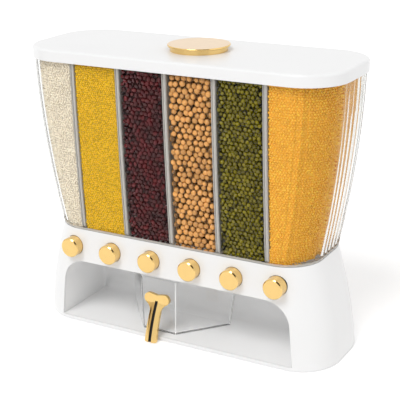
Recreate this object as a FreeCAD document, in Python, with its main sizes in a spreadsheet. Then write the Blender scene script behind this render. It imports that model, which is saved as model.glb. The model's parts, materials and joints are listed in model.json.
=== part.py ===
"""A six-chamber dry food dispenser: flared base, clear fluted tank, push buttons, lift-off lid and scoop.

Millimetres. X runs along the length, Y towards the back, Z up. The origin lies under the middle of the
body, on the surface that the rubber feet stand on.
"""
import FreeCAD
import Part
import math
import os
import re

import Sketcher
from FreeCAD import Placement, Rotation, Vector

os.makedirs("parts", exist_ok=True)
doc = FreeCAD.newDocument("dry_food_dispenser")

# Driving sizes: alias, value, what it is
SIZES = [
    # outline of the body
    ("foot_half_length", 190.9, "half the base's length at the floor"),
    ("foot_half_depth", 66.0, "half the base's depth at the floor"),
    ("foot_corner_radius", 47.9, "corner radius of the base at the floor"),
    ("seam_half_length", 168.0, "half the length where base and tank meet"),
    ("seam_half_depth", 61.0, "half the depth where base and tank meet"),
    ("seam_corner_radius", 42.5, "corner radius where base and tank meet"),
    ("lid_half_length", 195.0, "half the lid's length"),
    ("lid_half_depth", 71.9, "half the lid's depth"),
    ("lid_corner_radius", 48.9, "corner radius of the lid"),
    ("base_curve", 1.64, "exponent of the base's flare"),
    ("tank_curve", 1.76, "exponent of the tank's flare"),
    # heights and walls
    ("foot_stand", 0.8, "height of the base's rim above the surface"),
    ("base_height", 118.8, "top of the base's rim"),
    ("base_wall", 3.0, "wall of the base shell"),
    ("gasket_thickness", 0.8, "gasket between base and tank"),
    ("gasket_width", 4.6, "width of the gasket's ring"),
    ("tank_height", 210.8, "height of the tank from its foot to its rim"),
    ("tank_wall", 2.5, "wall of the tank"),
    # alcove
    ("alcove_side", 36.9, "width of the base beside the alcove at its floor"),
    ("alcove_lean", 4.5, "how far the alcove's sides lean in up to its upper corners"),
    ("alcove_corner_radius", 30.0, "radius of the alcove's upper corners"),
    ("alcove_ceiling", 79.0, "height of the alcove's ceiling"),
    ("alcove_rear", 34.0, "from the alcove's back wall to the base's rear"),
    ("alcove_fillet", 14.0, "fillet round the alcove's back wall"),
    ("liner_wall", 2.0, "wall of the alcove liner"),
    ("liner_gap", 0.15, "clearance between liner and base shell"),
    # bottom plate, feet and screws
    ("plate_thickness", 2.0, "thickness of the bottom plate"),
    ("plate_gap", 0.3, "clearance round the bottom plate"),
    ("pad_radius", 9.0, "radius of a rubber foot"),
    ("pad_recess", 1.2, "depth of the recess that holds a rubber foot"),
    ("pad_inset_x", 40.9, "rubber foot from the base's end"),
    ("pad_inset_y", 28.0, "rubber foot from the base's front or back"),
    ("boss_radius", 4.0, "radius of a screw boss"),
    ("boss_height", 22.0, "height of a screw boss"),
    ("boss_inset", 3.4, "screw boss axis from the inside of the wall"),
    ("screw_radius", 1.45, "radius of a screw's shank"),
    ("screw_length", 12.0, "length of a screw"),
    ("screw_head_radius", 2.9, "radius of a countersunk head"),
    ("screw_head_height", 1.5, "height of a countersunk head"),
    ("screw_gap", 0.1, "clearance round a screw"),
    # chambers and funnels
    ("chamber_count", 6, "number of chambers, buttons and gates"),
    ("end_chamber_extra", 0.5, "how much longer the two end chambers are together, in chambers"),
    ("divider_thickness", 2.0, "thickness of a divider"),
    ("divider_gap", 0.3, "clearance round a divider"),
    ("rail_width", 1.3, "width of a divider rail"),
    ("rail_depth", 2.6, "how far a divider rail stands off the tank's wall"),
    ("flange_thickness", 3.0, "flange of the hopper floor"),
    ("flange_gap", 0.3, "clearance round the hopper floor"),
    ("ledge_width", 6.5, "width of the ledge that carries the hopper floor"),
    ("ledge_thickness", 3.0, "thickness of that ledge"),
    ("mouth_margin", 10.0, "from the seam's outline to the funnel mouths"),
    ("ridge_width", 3.0, "ridge between two funnel mouths"),
    ("funnel_wall", 2.0, "wall of a funnel"),
    ("neck_half_width", 11.0, "half the width of a funnel's neck"),
    ("neck_half_depth", 4.5, "half the depth of a funnel's neck"),
    ("neck_height", 3.5, "height of a funnel's straight neck"),
    ("outlet_y", -10.0, "outlet's centre, behind the middle"),
    # gates, buttons and springs
    ("button_spread", 0.95, "share of the seam's length that the buttons take"),
    ("button_height", 97.5, "height of the buttons' axes"),
    ("button_radius", 11.75, "radius of a button"),
    ("button_proud", 11.5, "how far a button stands off the base"),
    ("button_travel", 10.0, "how far a button is pressed in"),
    ("button_wall", 1.8, "wall of a button's cap"),
    ("button_skirt", 11.0, "length of a button's skirt behind its face"),
    ("button_edge", 0.8, "chamfer of a button's front edge"),
    ("button_gap", 0.35, "clearance round a button in its guide"),
    ("guide_wall", 1.8, "wall of a button's guide sleeve"),
    ("guide_end", -48.5, "rear end of the guide sleeves"),
    ("web_thickness", 1.6, "web at the rear end of a guide sleeve"),
    ("socket_wall", 1.6, "wall of the socket inside a button"),
    ("peg_radius", 4.0, "radius of the peg that carries a button"),
    ("peg_gap", 0.05, "clearance of the peg in the button's socket"),
    ("peg_guide_gap", 0.3, "clearance of the peg in the sleeve's web"),
    ("spring_radius", 7.4, "outer radius of a return spring"),
    ("spring_wall", 1.0, "wire of a return spring"),
    ("gate_half_width", 13.5, "half the width of a slide gate"),
    ("gate_thickness", 2.0, "thickness of a slide gate"),
    ("gate_rear", 12.5, "how far a slide gate runs on behind its hole's rear edge"),
    ("gate_gap", 0.3, "clearance round a slide gate"),
    ("post_thickness", 2.4, "thickness of a gate's upright"),
    ("post_half_width", 5.0, "half the width of a gate's upright"),
    ("tray_margin", 17.0, "gate tray beyond the outer buttons' axes"),
    ("tray_front", -40.0, "front edge of the gate tray"),
    ("tray_rear", 10.0, "rear edge of the gate tray"),
    ("tray_thickness", 2.4, "thickness of the gate tray"),
    ("guide_rail_width", 2.0, "width of a gate's guide rail"),
    ("spout_wall", 1.2, "wall of a spout"),
    ("spout_end", 77.4, "height of the spouts' lower ends"),
    ("spout_gap", 0.6, "clearance of a spout in the liner"),
    # tank details
    ("flute_count", 17, "flutes on each end of the tank"),
    ("flute_depth", 0.9, "depth of the flutes"),
    ("foot_ring_height", 2.4, "height of the tank's inward foot ring"),
    ("lip_wall", 2.0, "wall of the tank's locating lip"),
    ("lip_depth", 1.8, "how far the locating lip reaches into the hopper floor"),
    ("lip_gap", 0.3, "clearance of the locating lip"),
    # lid and knob
    ("lid_plate", 3.0, "thickness of the lid's top"),
    ("lid_wall", 1.8, "wall of the lid's skirt"),
    ("lid_gap", 0.4, "clearance between the lid's skirt and the tank"),
    ("lid_skirt", 13.6, "height of the lid's edge"),
    ("lid_edge", 3.0, "rounding of the lid's top edge"),
    ("lid_ring_height", 8.0, "height of the lid's locating ring"),
    ("lid_ring_wall", 1.8, "wall of the lid's locating ring"),
    ("seal_height", 3.2, "height of the lid's seal"),
    ("seal_gap", 0.25, "clearance between the lid's seal and the tank"),
    ("seal_width", 2.2, "width of the lid's seal"),
    ("knob_x", 6.0, "knob's axis from the middle of the lid"),
    ("knob_radius", 35.4, "radius of the knob's disc"),
    ("knob_thickness", 2.4, "thickness of the knob's disc"),
    ("knob_edge", 0.8, "chamfer of the knob's edges"),
    ("collar_radius", 32.6, "radius of the knob's collar"),
    ("collar_height", 4.9, "height of the knob's collar"),
    ("collar_wall", 2.0, "wall of the knob's collar"),
    ("knob_stud_radius", 5.0, "radius of the stud under the knob's disc"),
    ("knob_screw_head_radius", 5.0, "radius of the knob screw's head"),
    ("knob_screw_head_height", 2.4, "height of the knob screw's head"),
    ("knob_screw_radius", 1.9, "radius of the knob screw's shank"),
    # scoop
    ("cup_x", -22.3, "middle of the scoop from the middle of the body"),
    ("cup_front", -54.4, "front of the scoop's floor"),
    ("cup_depth", 58.0, "depth of the scoop's floor"),
    ("cup_front_half_width", 22.0, "half the width of the scoop's front at its floor"),
    ("cup_back_half_width", 70.0, "half the width of the scoop's back at its floor"),
    ("cup_front_flare", 1.6, "how much wider each side of the scoop's front gets up to the rim"),
    ("cup_back_flare", 8.0, "how much wider each side of the scoop's back gets up to the rim"),
    ("cup_back_lean", 5.0, "how far the scoop's back wall leans out at the rim"),
    ("cup_height", 67.2, "height of the scoop"),
    ("cup_wall", 1.8, "wall of the scoop"),
    ("cup_corner_radius", 3.6, "corner radius of the scoop"),
    ("cup_floor_edge", 1.0, "slope between the scoop's floor and its walls"),
    # scoop handle
    ("handle_top", 54.6, "height of the handle's top"),
    ("handle_bottom", 0.8, "height of the handle's lower end"),
    ("handle_reach", 23.0, "how far the handle's lower end stands off the scoop's rim"),
    ("handle_thickness", 6.0, "thickness of the handle"),
    ("lobe_radius", 6.3, "radius of the handle's two top lobes"),
    ("lobe_offset", 10.2, "lobe centres from the handle's middle"),
    ("lobe_notch", 1.8, "depth of the notch between the lobes"),
    ("lobe_turn", 55.0, "how far each lobe's outline runs on below its widest place, in degrees"),
    ("shoulder_hollow", 1.2, "hollow of the shoulders between lobes and bar"),
    ("handle_contact", 10.0, "height of the handle's part that lies on the scoop's wall"),
    ("handle_taper", 20.0, "height over which the handle narrows from its lobes to its bar"),
    ("handle_waist", 7.1, "half the width of the handle below its lobes"),
    ("handle_end", 7.5, "half the width of the handle's lower end"),
    ("handle_groove_width", 1.8, "width of the groove down the handle's front"),
    ("handle_groove_depth", 1.4, "depth of that groove"),
    ("handle_groove_top", 8.6, "from the handle's top to the groove"),
    ("handle_screw_radius", 1.4, "radius of a handle screw's shank"),
    ("handle_screw_head_radius", 2.8, "radius of a handle screw's head"),
    ("handle_screw_length", 4.4, "length of a handle screw"),
]
FIRST_ROW = 1
NAMES = {alias for alias, number, note in SIZES}

# Sizes that follow from the driving sizes
DERIVED = {
    "alcove_half_width": "foot_half_length - alcove_side",
    "alcove_corner_half_width": "foot_half_length - alcove_side - alcove_lean",
    "alcove_back": "foot_half_depth - alcove_rear",
    "pad_x": "foot_half_length - pad_inset_x",
    "pad_y": "foot_half_depth - pad_inset_y",
    "divider_pitch": "2 * lid_half_length / (chamber_count + end_chamber_extra)",
    "button_pitch": "2 * seam_half_length * button_spread / chamber_count",
    "tray_half_length": "seam_half_length * button_spread * (1 - 1 / chamber_count) + tray_margin",
    "mouth_half_length": "seam_half_length - mouth_margin",
    "mouth_half_depth": "seam_half_depth - mouth_margin",
    "mouth_corner_radius": "seam_corner_radius - mouth_margin",
}

sheet = doc.addObject("Spreadsheet::Sheet", "Sizes")
for row, (alias, number, note) in enumerate(SIZES, start=FIRST_ROW):
    sheet.set("A%d" % row, note)
    sheet.set("B%d" % row, str(number))
    sheet.setAlias("B%d" % row, alias)
doc.recompute()

# Places worked out from the driving sizes, as formulas
FOOT_Z = "(base_height + gasket_thickness)"
TANK_TOP = "(base_height + gasket_thickness + tank_height)"
TANK_TOP_LENGTH = "(lid_half_length - lid_wall - lid_gap)"
TANK_TOP_DEPTH = "(lid_half_depth - lid_wall - lid_gap)"
TANK_TOP_RADIUS = "(lid_corner_radius - lid_wall - lid_gap)"
LID_TOP = "(base_height + gasket_thickness + tank_height + lid_plate)"
FLOOR_BOTTOM = "(foot_stand + plate_thickness)"
FLOOR_TOP = "(foot_stand + plate_thickness + liner_wall)"
TRAY_BOTTOM = "(alcove_ceiling + liner_wall)"
TRAY_TOP = "(alcove_ceiling + liner_wall + tray_thickness)"
GATE_BOTTOM = "(alcove_ceiling + liner_wall + tray_thickness + gate_gap)"
GATE_TOP = "(alcove_ceiling + liner_wall + tray_thickness + gate_gap + gate_thickness)"
NECK_BOTTOM = GATE_TOP[:-1] + " + gate_gap)"
FUNNEL_BOTTOM = GATE_TOP[:-1] + " + gate_gap + neck_height)"
FLANGE_BOTTOM = "(base_height - flange_thickness)"
LIP_LENGTH = "(seam_half_length - gasket_width - lip_gap)"
LIP_DEPTH = "(seam_half_depth - gasket_width - lip_gap)"
LIP_RADIUS = "(seam_corner_radius - gasket_width - lip_gap)"
PANEL_SHARE = "((button_height - foot_stand) / (base_height - foot_stand))"
PANEL_Y = "(0 - foot_half_depth + (foot_half_depth - seam_half_depth) * %s ^ base_curve)" % PANEL_SHARE
BUTTON_FACE = "(%s - button_proud)" % PANEL_Y
GATE_HOLE_Y = "(outlet_y - button_travel)"
GATE_FRONT = "(guide_end + gate_gap)"
RAIL_TOP_MARGIN = "(lid_ring_height + divider_gap)"
SEAL_LENGTH = "(%s - tank_wall - seal_gap - lid_gap)" % TANK_TOP_LENGTH
SEAL_DEPTH = "(%s - tank_wall - seal_gap - lid_gap)" % TANK_TOP_DEPTH
SEAL_RADIUS = "(%s - tank_wall - seal_gap - lid_gap)" % TANK_TOP_RADIUS

# Half length, half depth and corner radius of the body's outline at two heights
FOOT = ("foot_half_length", "foot_half_depth", "foot_corner_radius")
SEAM = ("seam_half_length", "seam_half_depth", "seam_corner_radius")


def set_in(outline, inset):
    """The three formulas of an outline that lies inside another by a wall."""
    return ["%s - (%s)" % (size, inset) for size in outline]


def formula(text):
    """The text with each size's name turned into a cell of the sheet."""

    def cell(match):
        word = match.group(0)
        if word in DERIVED:
            return "(%s)" % formula(DERIVED[word])
        return "Sizes." + word if word in NAMES else word

    return re.sub(r"[a-z_]\w*", cell, text)


def value(text):
    """The number that a formula gives now."""
    return float(sheet.evalExpression(formula(str(text))))


def bind(thing, prop, text):
    thing.setExpression(prop, formula(str(text)))


# Sketches and features

PLANE_ORDER = {"XY_Plane": "xyz", "XZ_Plane": "xzy", "YZ_Plane": "yzx"}


def new_body(label, x="0", y="0", z="0"):
    """A body whose own origin stands at x, y, z."""
    body = doc.addObject("PartDesign::Body", label)
    body.Label = label
    bind(body, "Placement.Base.x", x)
    bind(body, "Placement.Base.y", y)
    bind(body, "Placement.Base.z", z)
    return body


def new_sketch(body, name, plane="XY_Plane", x="0", y="0", z="0"):
    """A sketch on one of the body's origin planes, moved so that its own origin stands at x, y, z."""
    sketch = body.newObject("Sketcher::SketchObject", "%s_%s" % (body.Name, name))
    origin_plane = [p for p in body.Origin.OriginFeatures if p.Role == plane][0]
    sketch.AttachmentSupport = [(origin_plane, "")]
    sketch.MapMode = "FlatFace"
    places = {"x": x, "y": y, "z": z}
    for axis, world in zip("xyz", PLANE_ORDER[plane]):
        place = places[world]
        if world == "y" and axis == "z":
            place = "0 - (%s)" % place
        bind(sketch, "AttachmentOffset.Base." + axis, place)
    return sketch


def name_size(sketch, constraint, name, text):
    """Adds a constraint under a name and binds it to a formula."""
    index = sketch.addConstraint(constraint)
    full_name = "%s%d" % (name, index)
    sketch.renameConstraint(index, full_name)
    bind(sketch, "Constraints." + full_name, text)


def draw_rounded_rectangle(sketch, half_length, half_depth, radius):
    """A rounded rectangle about the sketch's origin."""
    across, up, round_off = value(half_length), value(half_depth), value(radius)
    first = sketch.GeometryCount
    arcs = []
    for quarter in range(4):
        turn = math.radians(90 * quarter + 45)
        centre = Vector(
            math.copysign(across - round_off, math.cos(turn)),
            math.copysign(up - round_off, math.sin(turn)),
            0,
        )
        circle = Part.Circle(centre, Vector(0, 0, 1), round_off)
        arcs.append(Part.ArcOfCircle(circle, math.radians(90 * quarter), math.radians(90 * quarter + 90)))
    for quarter in range(4):
        sketch.addGeometry(arcs[quarter], False)
        following = arcs[(quarter + 1) % 4]
        sketch.addGeometry(Part.LineSegment(arcs[quarter].EndPoint, following.StartPoint), False)
    for quarter in range(4):
        arc = first + 2 * quarter
        line = arc + 1
        following = first + 2 * ((quarter + 1) % 4)
        sketch.addConstraint(Sketcher.Constraint("Tangent", arc, 2, line, 1))
        sketch.addConstraint(Sketcher.Constraint("Tangent", line, 2, following, 1))
        sketch.addConstraint(Sketcher.Constraint("Vertical" if quarter % 2 else "Horizontal", line))
        if quarter:
            sketch.addConstraint(Sketcher.Constraint("Equal", first, arc))
    sketch.addConstraint(Sketcher.Constraint("Symmetric", first, 3, first + 4, 3, -1, 1))
    name_size(sketch, Sketcher.Constraint("Radius", first, round_off), "radius", radius)
    name_size(sketch, Sketcher.Constraint("DistanceX", -1, 1, first + 7, 1, across), "length", half_length)
    name_size(sketch, Sketcher.Constraint("DistanceY", -1, 1, first + 1, 1, up), "depth", half_depth)


def draw_rectangle(sketch, half_length, half_depth):
    """A rectangle about the sketch's origin."""
    across, up = value(half_length), value(half_depth)
    corners = [Vector(across, up, 0), Vector(-across, up, 0), Vector(-across, -up, 0), Vector(across, -up, 0)]
    first = sketch.GeometryCount
    for side in range(4):
        sketch.addGeometry(Part.LineSegment(corners[side], corners[(side + 1) % 4]), False)
    for side in range(4):
        sketch.addConstraint(Sketcher.Constraint("Coincident", first + side, 2, first + (side + 1) % 4, 1))
        sketch.addConstraint(Sketcher.Constraint("Vertical" if side % 2 else "Horizontal", first + side))
    sketch.addConstraint(Sketcher.Constraint("Symmetric", first, 1, first + 2, 1, -1, 1))
    name_size(sketch, Sketcher.Constraint("DistanceX", -1, 1, first, 1, across), "length", half_length)
    name_size(sketch, Sketcher.Constraint("DistanceY", -1, 1, first, 1, up), "depth", half_depth)


def draw_circle(sketch, radius):
    """A circle about the sketch's origin."""
    index = sketch.addGeometry(Part.Circle(Vector(0, 0, 0), Vector(0, 0, 1), value(radius)), False)
    sketch.addConstraint(Sketcher.Constraint("Coincident", index, 3, -1, 1))
    name_size(sketch, Sketcher.Constraint("Radius", index, value(radius)), "radius", radius)


def pad(body, sketch, length, reverse=False):
    feature = body.newObject("PartDesign::Pad", sketch.Name + "_pad")
    feature.Profile = sketch
    bind(feature, "Length", length)
    feature.Reversed = reverse
    sketch.Visibility = False
    doc.recompute()
    return feature


def pocket(body, sketch, length, reverse=False):
    """Cuts the sketch out of the body, and makes sure that something was cut."""
    before = body.Shape.Volume
    feature = body.newObject("PartDesign::Pocket", sketch.Name + "_pocket")
    feature.Profile = sketch
    bind(feature, "Length", length)
    feature.Reversed = reverse
    doc.recompute()
    if body.Shape.Volume > before - 0.01:
        raise ValueError("%s cuts nothing" % feature.Name)
    return feature


def loft(body, sketches, kind="AdditiveLoft"):
    """A body through several sketches, straight from each to the next."""
    feature = body.newObject("PartDesign::" + kind, sketches[0].Name + "_loft")
    feature.Profile = sketches[0]
    feature.Sections = sketches[1:]
    feature.Ruled = True
    doc.recompute()
    return feature


def row_pattern(body, feature, sketch):
    """Repeats a feature once per chamber, one button pitch apart, towards +X."""
    pattern = body.newObject("PartDesign::LinearPattern", feature.Name + "_row")
    pattern.Originals = [feature]
    pattern.Direction = (sketch, ["H_Axis"])
    bind(pattern, "Length", "button_pitch * (chamber_count - 1)")
    bind(pattern, "Occurrences", "chamber_count")
    body.Tip = pattern
    doc.recompute()
    return pattern


def round_edges(body, edge_names, radius):
    base = body.Tip
    feature = body.newObject("PartDesign::Fillet", body.Name + "_rounding")
    feature.Base = (base, edge_names)
    bind(feature, "Radius", radius)
    body.Tip = feature
    doc.recompute()


def chamfer_edges(body, edge_names, size):
    base = body.Tip
    feature = body.newObject("PartDesign::Chamfer", body.Name + "_chamfer")
    feature.Base = (base, edge_names)
    bind(feature, "Size", size)
    body.Tip = feature
    doc.recompute()


def countersink(body, name, x, y, z, wide, narrow, height):
    """A conical recess that opens downwards at z."""
    cone = body.newObject("PartDesign::SubtractiveCone", name)
    bind(cone, "Radius1", wide)
    bind(cone, "Radius2", narrow)
    bind(cone, "Height", height)
    bind(cone, "Placement.Base.x", x)
    bind(cone, "Placement.Base.y", y)
    bind(cone, "Placement.Base.z", z)
    doc.recompute()


def edges_where(shape, test):
    """Names of the shape's edges that a test picks by their middle point and length."""
    names = []
    for number, edge in enumerate(shape.Edges, start=1):
        middle = edge.valueAt((edge.FirstParameter + edge.LastParameter) / 2)
        if test(middle, edge):
            names.append("Edge%d" % number)
    return names


# Plain solids bound to the sheet


def new_box(name, x_low, x_high, y_low, y_high, z_low, z_high):
    box = doc.addObject("Part::Box", name)
    bind(box, "Length", "(%s) - (%s)" % (x_high, x_low))
    bind(box, "Width", "(%s) - (%s)" % (y_high, y_low))
    bind(box, "Height", "(%s) - (%s)" % (z_high, z_low))
    bind(box, "Placement.Base.x", x_low)
    bind(box, "Placement.Base.y", y_low)
    bind(box, "Placement.Base.z", z_low)
    return box


def combine(kind, name, shapes):
    """Part::MultiFuse, Part::MultiCommon or Part::Compound of several objects."""
    thing = doc.addObject("Part::" + kind, name)
    if kind == "Compound":
        thing.Links = shapes
    else:
        thing.Shapes = shapes
    return thing


def cut(name, base, tool):
    thing = doc.addObject("Part::Cut", name)
    thing.Base = base
    thing.Tool = tool
    return thing


def part_loft(name, sketches):
    thing = doc.addObject("Part::Loft", name)
    thing.Sections = sketches
    thing.Solid = True
    thing.Ruled = True
    return thing


def loose_sketch(name, x, y, z):
    """A sketch parallel to XY that belongs to no body."""
    sketch = doc.addObject("Sketcher::SketchObject", name)
    bind(sketch, "Placement.Base.x", x)
    bind(sketch, "Placement.Base.y", y)
    bind(sketch, "Placement.Base.z", z)
    return sketch


def extrude(name, sketch, length, direction):
    thing = doc.addObject("Part::Extrusion", name)
    thing.Base = sketch
    thing.DirMode = "Custom"
    thing.Dir = direction
    bind(thing, "LengthFwd", length)
    thing.Solid = True
    return thing


def shaped(label, shape, x="0"):
    """A piece whose shape is worked out in code, moved along X by a formula."""
    thing = doc.addObject("Part::Feature", label)
    thing.Label = label
    thing.Shape = shape
    thing.Placement = Placement(Vector(value(x), 0, 0), Rotation())
    return thing


# The body's outline

# Base and tank flare in bands: their walls run straight from one level to the next
BANDS = 4
LEVELS = [number / BANDS for number in range(BANDS + 1)]


def base_outline(share, inset):
    """Height, half length, half depth and corner radius of the base, as formulas."""
    flare = "%s ^ base_curve" % share
    return (
        "foot_stand + (base_height - foot_stand) * %s" % share,
        "foot_half_length - (foot_half_length - seam_half_length) * %s - (%s)" % (flare, inset),
        "foot_half_depth - (foot_half_depth - seam_half_depth) * %s - (%s)" % (flare, inset),
        "foot_corner_radius - (foot_corner_radius - seam_corner_radius) * %s - (%s)" % (flare, inset),
    )


def tank_bulge(share):
    """How much of the tank's flare is reached at a share of its height."""
    band = min(int(share * BANDS), BANDS - 1)
    low, high = [value("1 - (1 - %s) ^ tank_curve" % level) for level in LEVELS[band:band + 2]]
    return low + (high - low) * (share * BANDS - band)


def tank_outline(share, inset):
    """Half length, half depth and corner radius of the tank at a share of its height, as numbers."""
    bulge = tank_bulge(share)
    sizes = []
    for foot, top in (
        ("seam_half_length", TANK_TOP_LENGTH),
        ("seam_half_depth", TANK_TOP_DEPTH),
        ("seam_corner_radius", TANK_TOP_RADIUS),
    ):
        sizes.append(value(foot) + (value(top) - value(foot)) * bulge - value(inset))
    return sizes


def rounded_wire(half_length, half_depth, radius, z):
    """A rounded rectangle as a wire at height z, from the right end's front corner onwards."""
    edges = []
    points = []
    for quarter in range(4):
        turn = math.radians(90 * quarter - 90)
        middle = turn + math.radians(45)
        centre = Vector(
            math.copysign(half_length - radius, math.cos(middle)),
            math.copysign(half_depth - radius, math.sin(middle)),
            z,
        )
        arc_points = [
            centre + Vector(radius * math.cos(a), radius * math.sin(a), 0)
            for a in (turn, middle, turn + math.radians(90))
        ]
        points.append(arc_points)
    for quarter in range(4):
        edges.append(Part.Arc(*points[quarter]).toShape())
        edges.append(Part.LineSegment(points[quarter][2], points[(quarter + 1) % 4][0]).toShape())
    return Part.Wire(edges)


def tank_space(inset, low="0", high="0"):
    """The solid inside the tank's outline, set in from it, between two margins at its foot and rim."""
    height = value("tank_height")
    bottom = value(low) / height
    top = 1 - value(high) / height
    shares = [bottom] + [level for level in LEVELS if bottom < level < top] + [top]
    wires = [rounded_wire(*tank_outline(share, inset), value(FOOT_Z) + height * share) for share in shares]
    return Part.makeLoft(wires, True, True)


def end_point(distance, half_length, half_depth, radius, z):
    """A point on the tank's right end: the distance runs along the end from its front to its back."""
    quarter = math.pi / 2 * radius
    straight = 2 * (half_depth - radius)
    if distance <= quarter:
        angle = distance / radius - math.pi / 2
        side = -1
    elif distance <= quarter + straight:
        return Vector(half_length, -(half_depth - radius) + distance - quarter, z)
    else:
        angle = (distance - quarter - straight) / radius
        side = 1
    return Vector(
        half_length - radius + radius * math.cos(angle),
        side * (half_depth - radius) + radius * math.sin(angle),
        z,
    )


def fluted_wire(share):
    """The tank's outside at one height: straight front and back, and reeded rounded ends."""
    z = value(FOOT_Z) + value("tank_height") * share
    crest = tank_outline(share, "0")
    valley = tank_outline(share, "flute_depth")
    count = int(value("flute_count"))
    crest_length = math.pi * crest[2] + 2 * (crest[1] - crest[2])
    valley_length = math.pi * valley[2] + 2 * (valley[1] - valley[2])
    right = []
    for number in range(count):
        start = end_point(valley_length * number / count, *valley, z)
        middle = end_point(crest_length * (number + 0.5) / count, *crest, z)
        end = end_point(valley_length * (number + 1) / count, *valley, z)
        right.append((start, middle, end))
    right[0] = (Vector(right[0][0].x, -crest[1], z), right[0][1], right[0][2])
    right[-1] = (right[-1][0], right[-1][1], Vector(right[-1][2].x, crest[1], z))
    left = [tuple(Vector(-p.x, -p.y, p.z) for p in points) for points in right]
    edges = [Part.Arc(*points).toShape() for points in right]
    edges.append(Part.LineSegment(right[-1][2], left[0][0]).toShape())
    edges += [Part.Arc(*points).toShape() for points in left]
    edges.append(Part.LineSegment(left[-1][2], right[0][0]).toShape())
    return Part.Wire(edges)


def button_x(number):
    """Where button, gate and funnel neck of a chamber stand, as a formula."""
    return "(%d - (chamber_count - 1) / 2) * button_pitch" % number


def divider_x(number):
    """Where the divider after a chamber stands, as a formula."""
    return "(%d - chamber_count / 2) * divider_pitch" % number


# Base


def draw_alcove(sketch, offset):
    """The alcove's outline on an upright sketch: leaning sides and two rounded upper corners."""
    half_floor = "alcove_half_width + (%s)" % offset
    half_corner = "alcove_corner_half_width - alcove_corner_radius"
    radius = "alcove_corner_radius + (%s)" % offset
    centre_z = "alcove_ceiling - alcove_corner_radius"
    floor = "%s - (%s)" % (FLOOR_TOP, offset)
    corner_x, corner_z, corner_r = value(half_corner), value(centre_z), value(radius)
    floor_x, floor_z = value(half_floor), value(floor)
    run = Vector(floor_x - corner_x, floor_z - corner_z, 0)
    tangent_angle = math.atan2(run.y, run.x) + math.acos(corner_r / run.Length)
    corner = Vector(corner_x, corner_z, 0)
    touch = corner + Vector(math.cos(tangent_angle), math.sin(tangent_angle), 0) * corner_r
    top = Vector(corner_x, corner_z + corner_r, 0)
    foot = Vector(floor_x, floor_z, 0)

    def mirrored(point):
        return Vector(-point.x, point.y, 0)

    right_circle = Part.Circle(corner, Vector(0, 0, 1), corner_r)
    left_circle = Part.Circle(mirrored(corner), Vector(0, 0, 1), corner_r)
    right = Part.ArcOfCircle(right_circle, tangent_angle, math.pi / 2)
    left = Part.ArcOfCircle(left_circle, math.pi / 2, math.pi - tangent_angle)
    sketch.addGeometry(Part.LineSegment(foot, touch), False)
    sketch.addGeometry(right, False)
    sketch.addGeometry(Part.LineSegment(top, mirrored(top)), False)
    sketch.addGeometry(left, False)
    sketch.addGeometry(Part.LineSegment(mirrored(touch), mirrored(foot)), False)
    sketch.addGeometry(Part.LineSegment(mirrored(foot), foot), False)
    for first, second in ((0, 1), (1, 2), (2, 3), (3, 4)):
        sketch.addConstraint(Sketcher.Constraint("Tangent", first, 2, second, 1))
    sketch.addConstraint(Sketcher.Constraint("Coincident", 4, 2, 5, 1))
    sketch.addConstraint(Sketcher.Constraint("Coincident", 5, 2, 0, 1))
    sketch.addConstraint(Sketcher.Constraint("Horizontal", 2))
    sketch.addConstraint(Sketcher.Constraint("Symmetric", 1, 3, 3, 3, -2))
    sketch.addConstraint(Sketcher.Constraint("Symmetric", 0, 1, 4, 2, -2))
    name_size(sketch, Sketcher.Constraint("Radius", 1, corner_r), "radius", radius)
    name_size(sketch, Sketcher.Constraint("DistanceX", -1, 1, 1, 3, corner_x), "corner", half_corner)
    name_size(sketch, Sketcher.Constraint("DistanceY", -1, 1, 1, 3, corner_z), "centre", centre_z)
    name_size(sketch, Sketcher.Constraint("DistanceX", -1, 1, 0, 1, floor_x), "floor_x", half_floor)
    name_size(sketch, Sketcher.Constraint("DistanceY", -1, 1, 0, 1, floor_z), "floor_z", floor)


def base_sections(owner, name, inset):
    """Sketches of the base's outline at each height, in a body or loose."""
    sketches = []
    for number, share in enumerate(LEVELS):
        z, half_length, half_depth, radius = base_outline(share, inset)
        if owner is None:
            sketch = loose_sketch("%s_%d" % (name, number), "0", "0", z)
        else:
            sketch = new_sketch(owner, "%s_%d" % (name, number), z=z)
        draw_rounded_rectangle(sketch, half_length, half_depth, radius)
        sketches.append(sketch)
    return sketches


def boss_places():
    """A screw boss in each corner."""
    corner = "(foot_corner_radius - base_wall - boss_inset) * sin(45)"
    x = "foot_half_length - foot_corner_radius + %s" % corner
    y = "foot_half_depth - foot_corner_radius + %s" % corner
    return [("(%s) * %d" % (x, side), "(%s) * %d" % (y, end)) for side in (-1, 1) for end in (-1, 1)]


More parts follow.
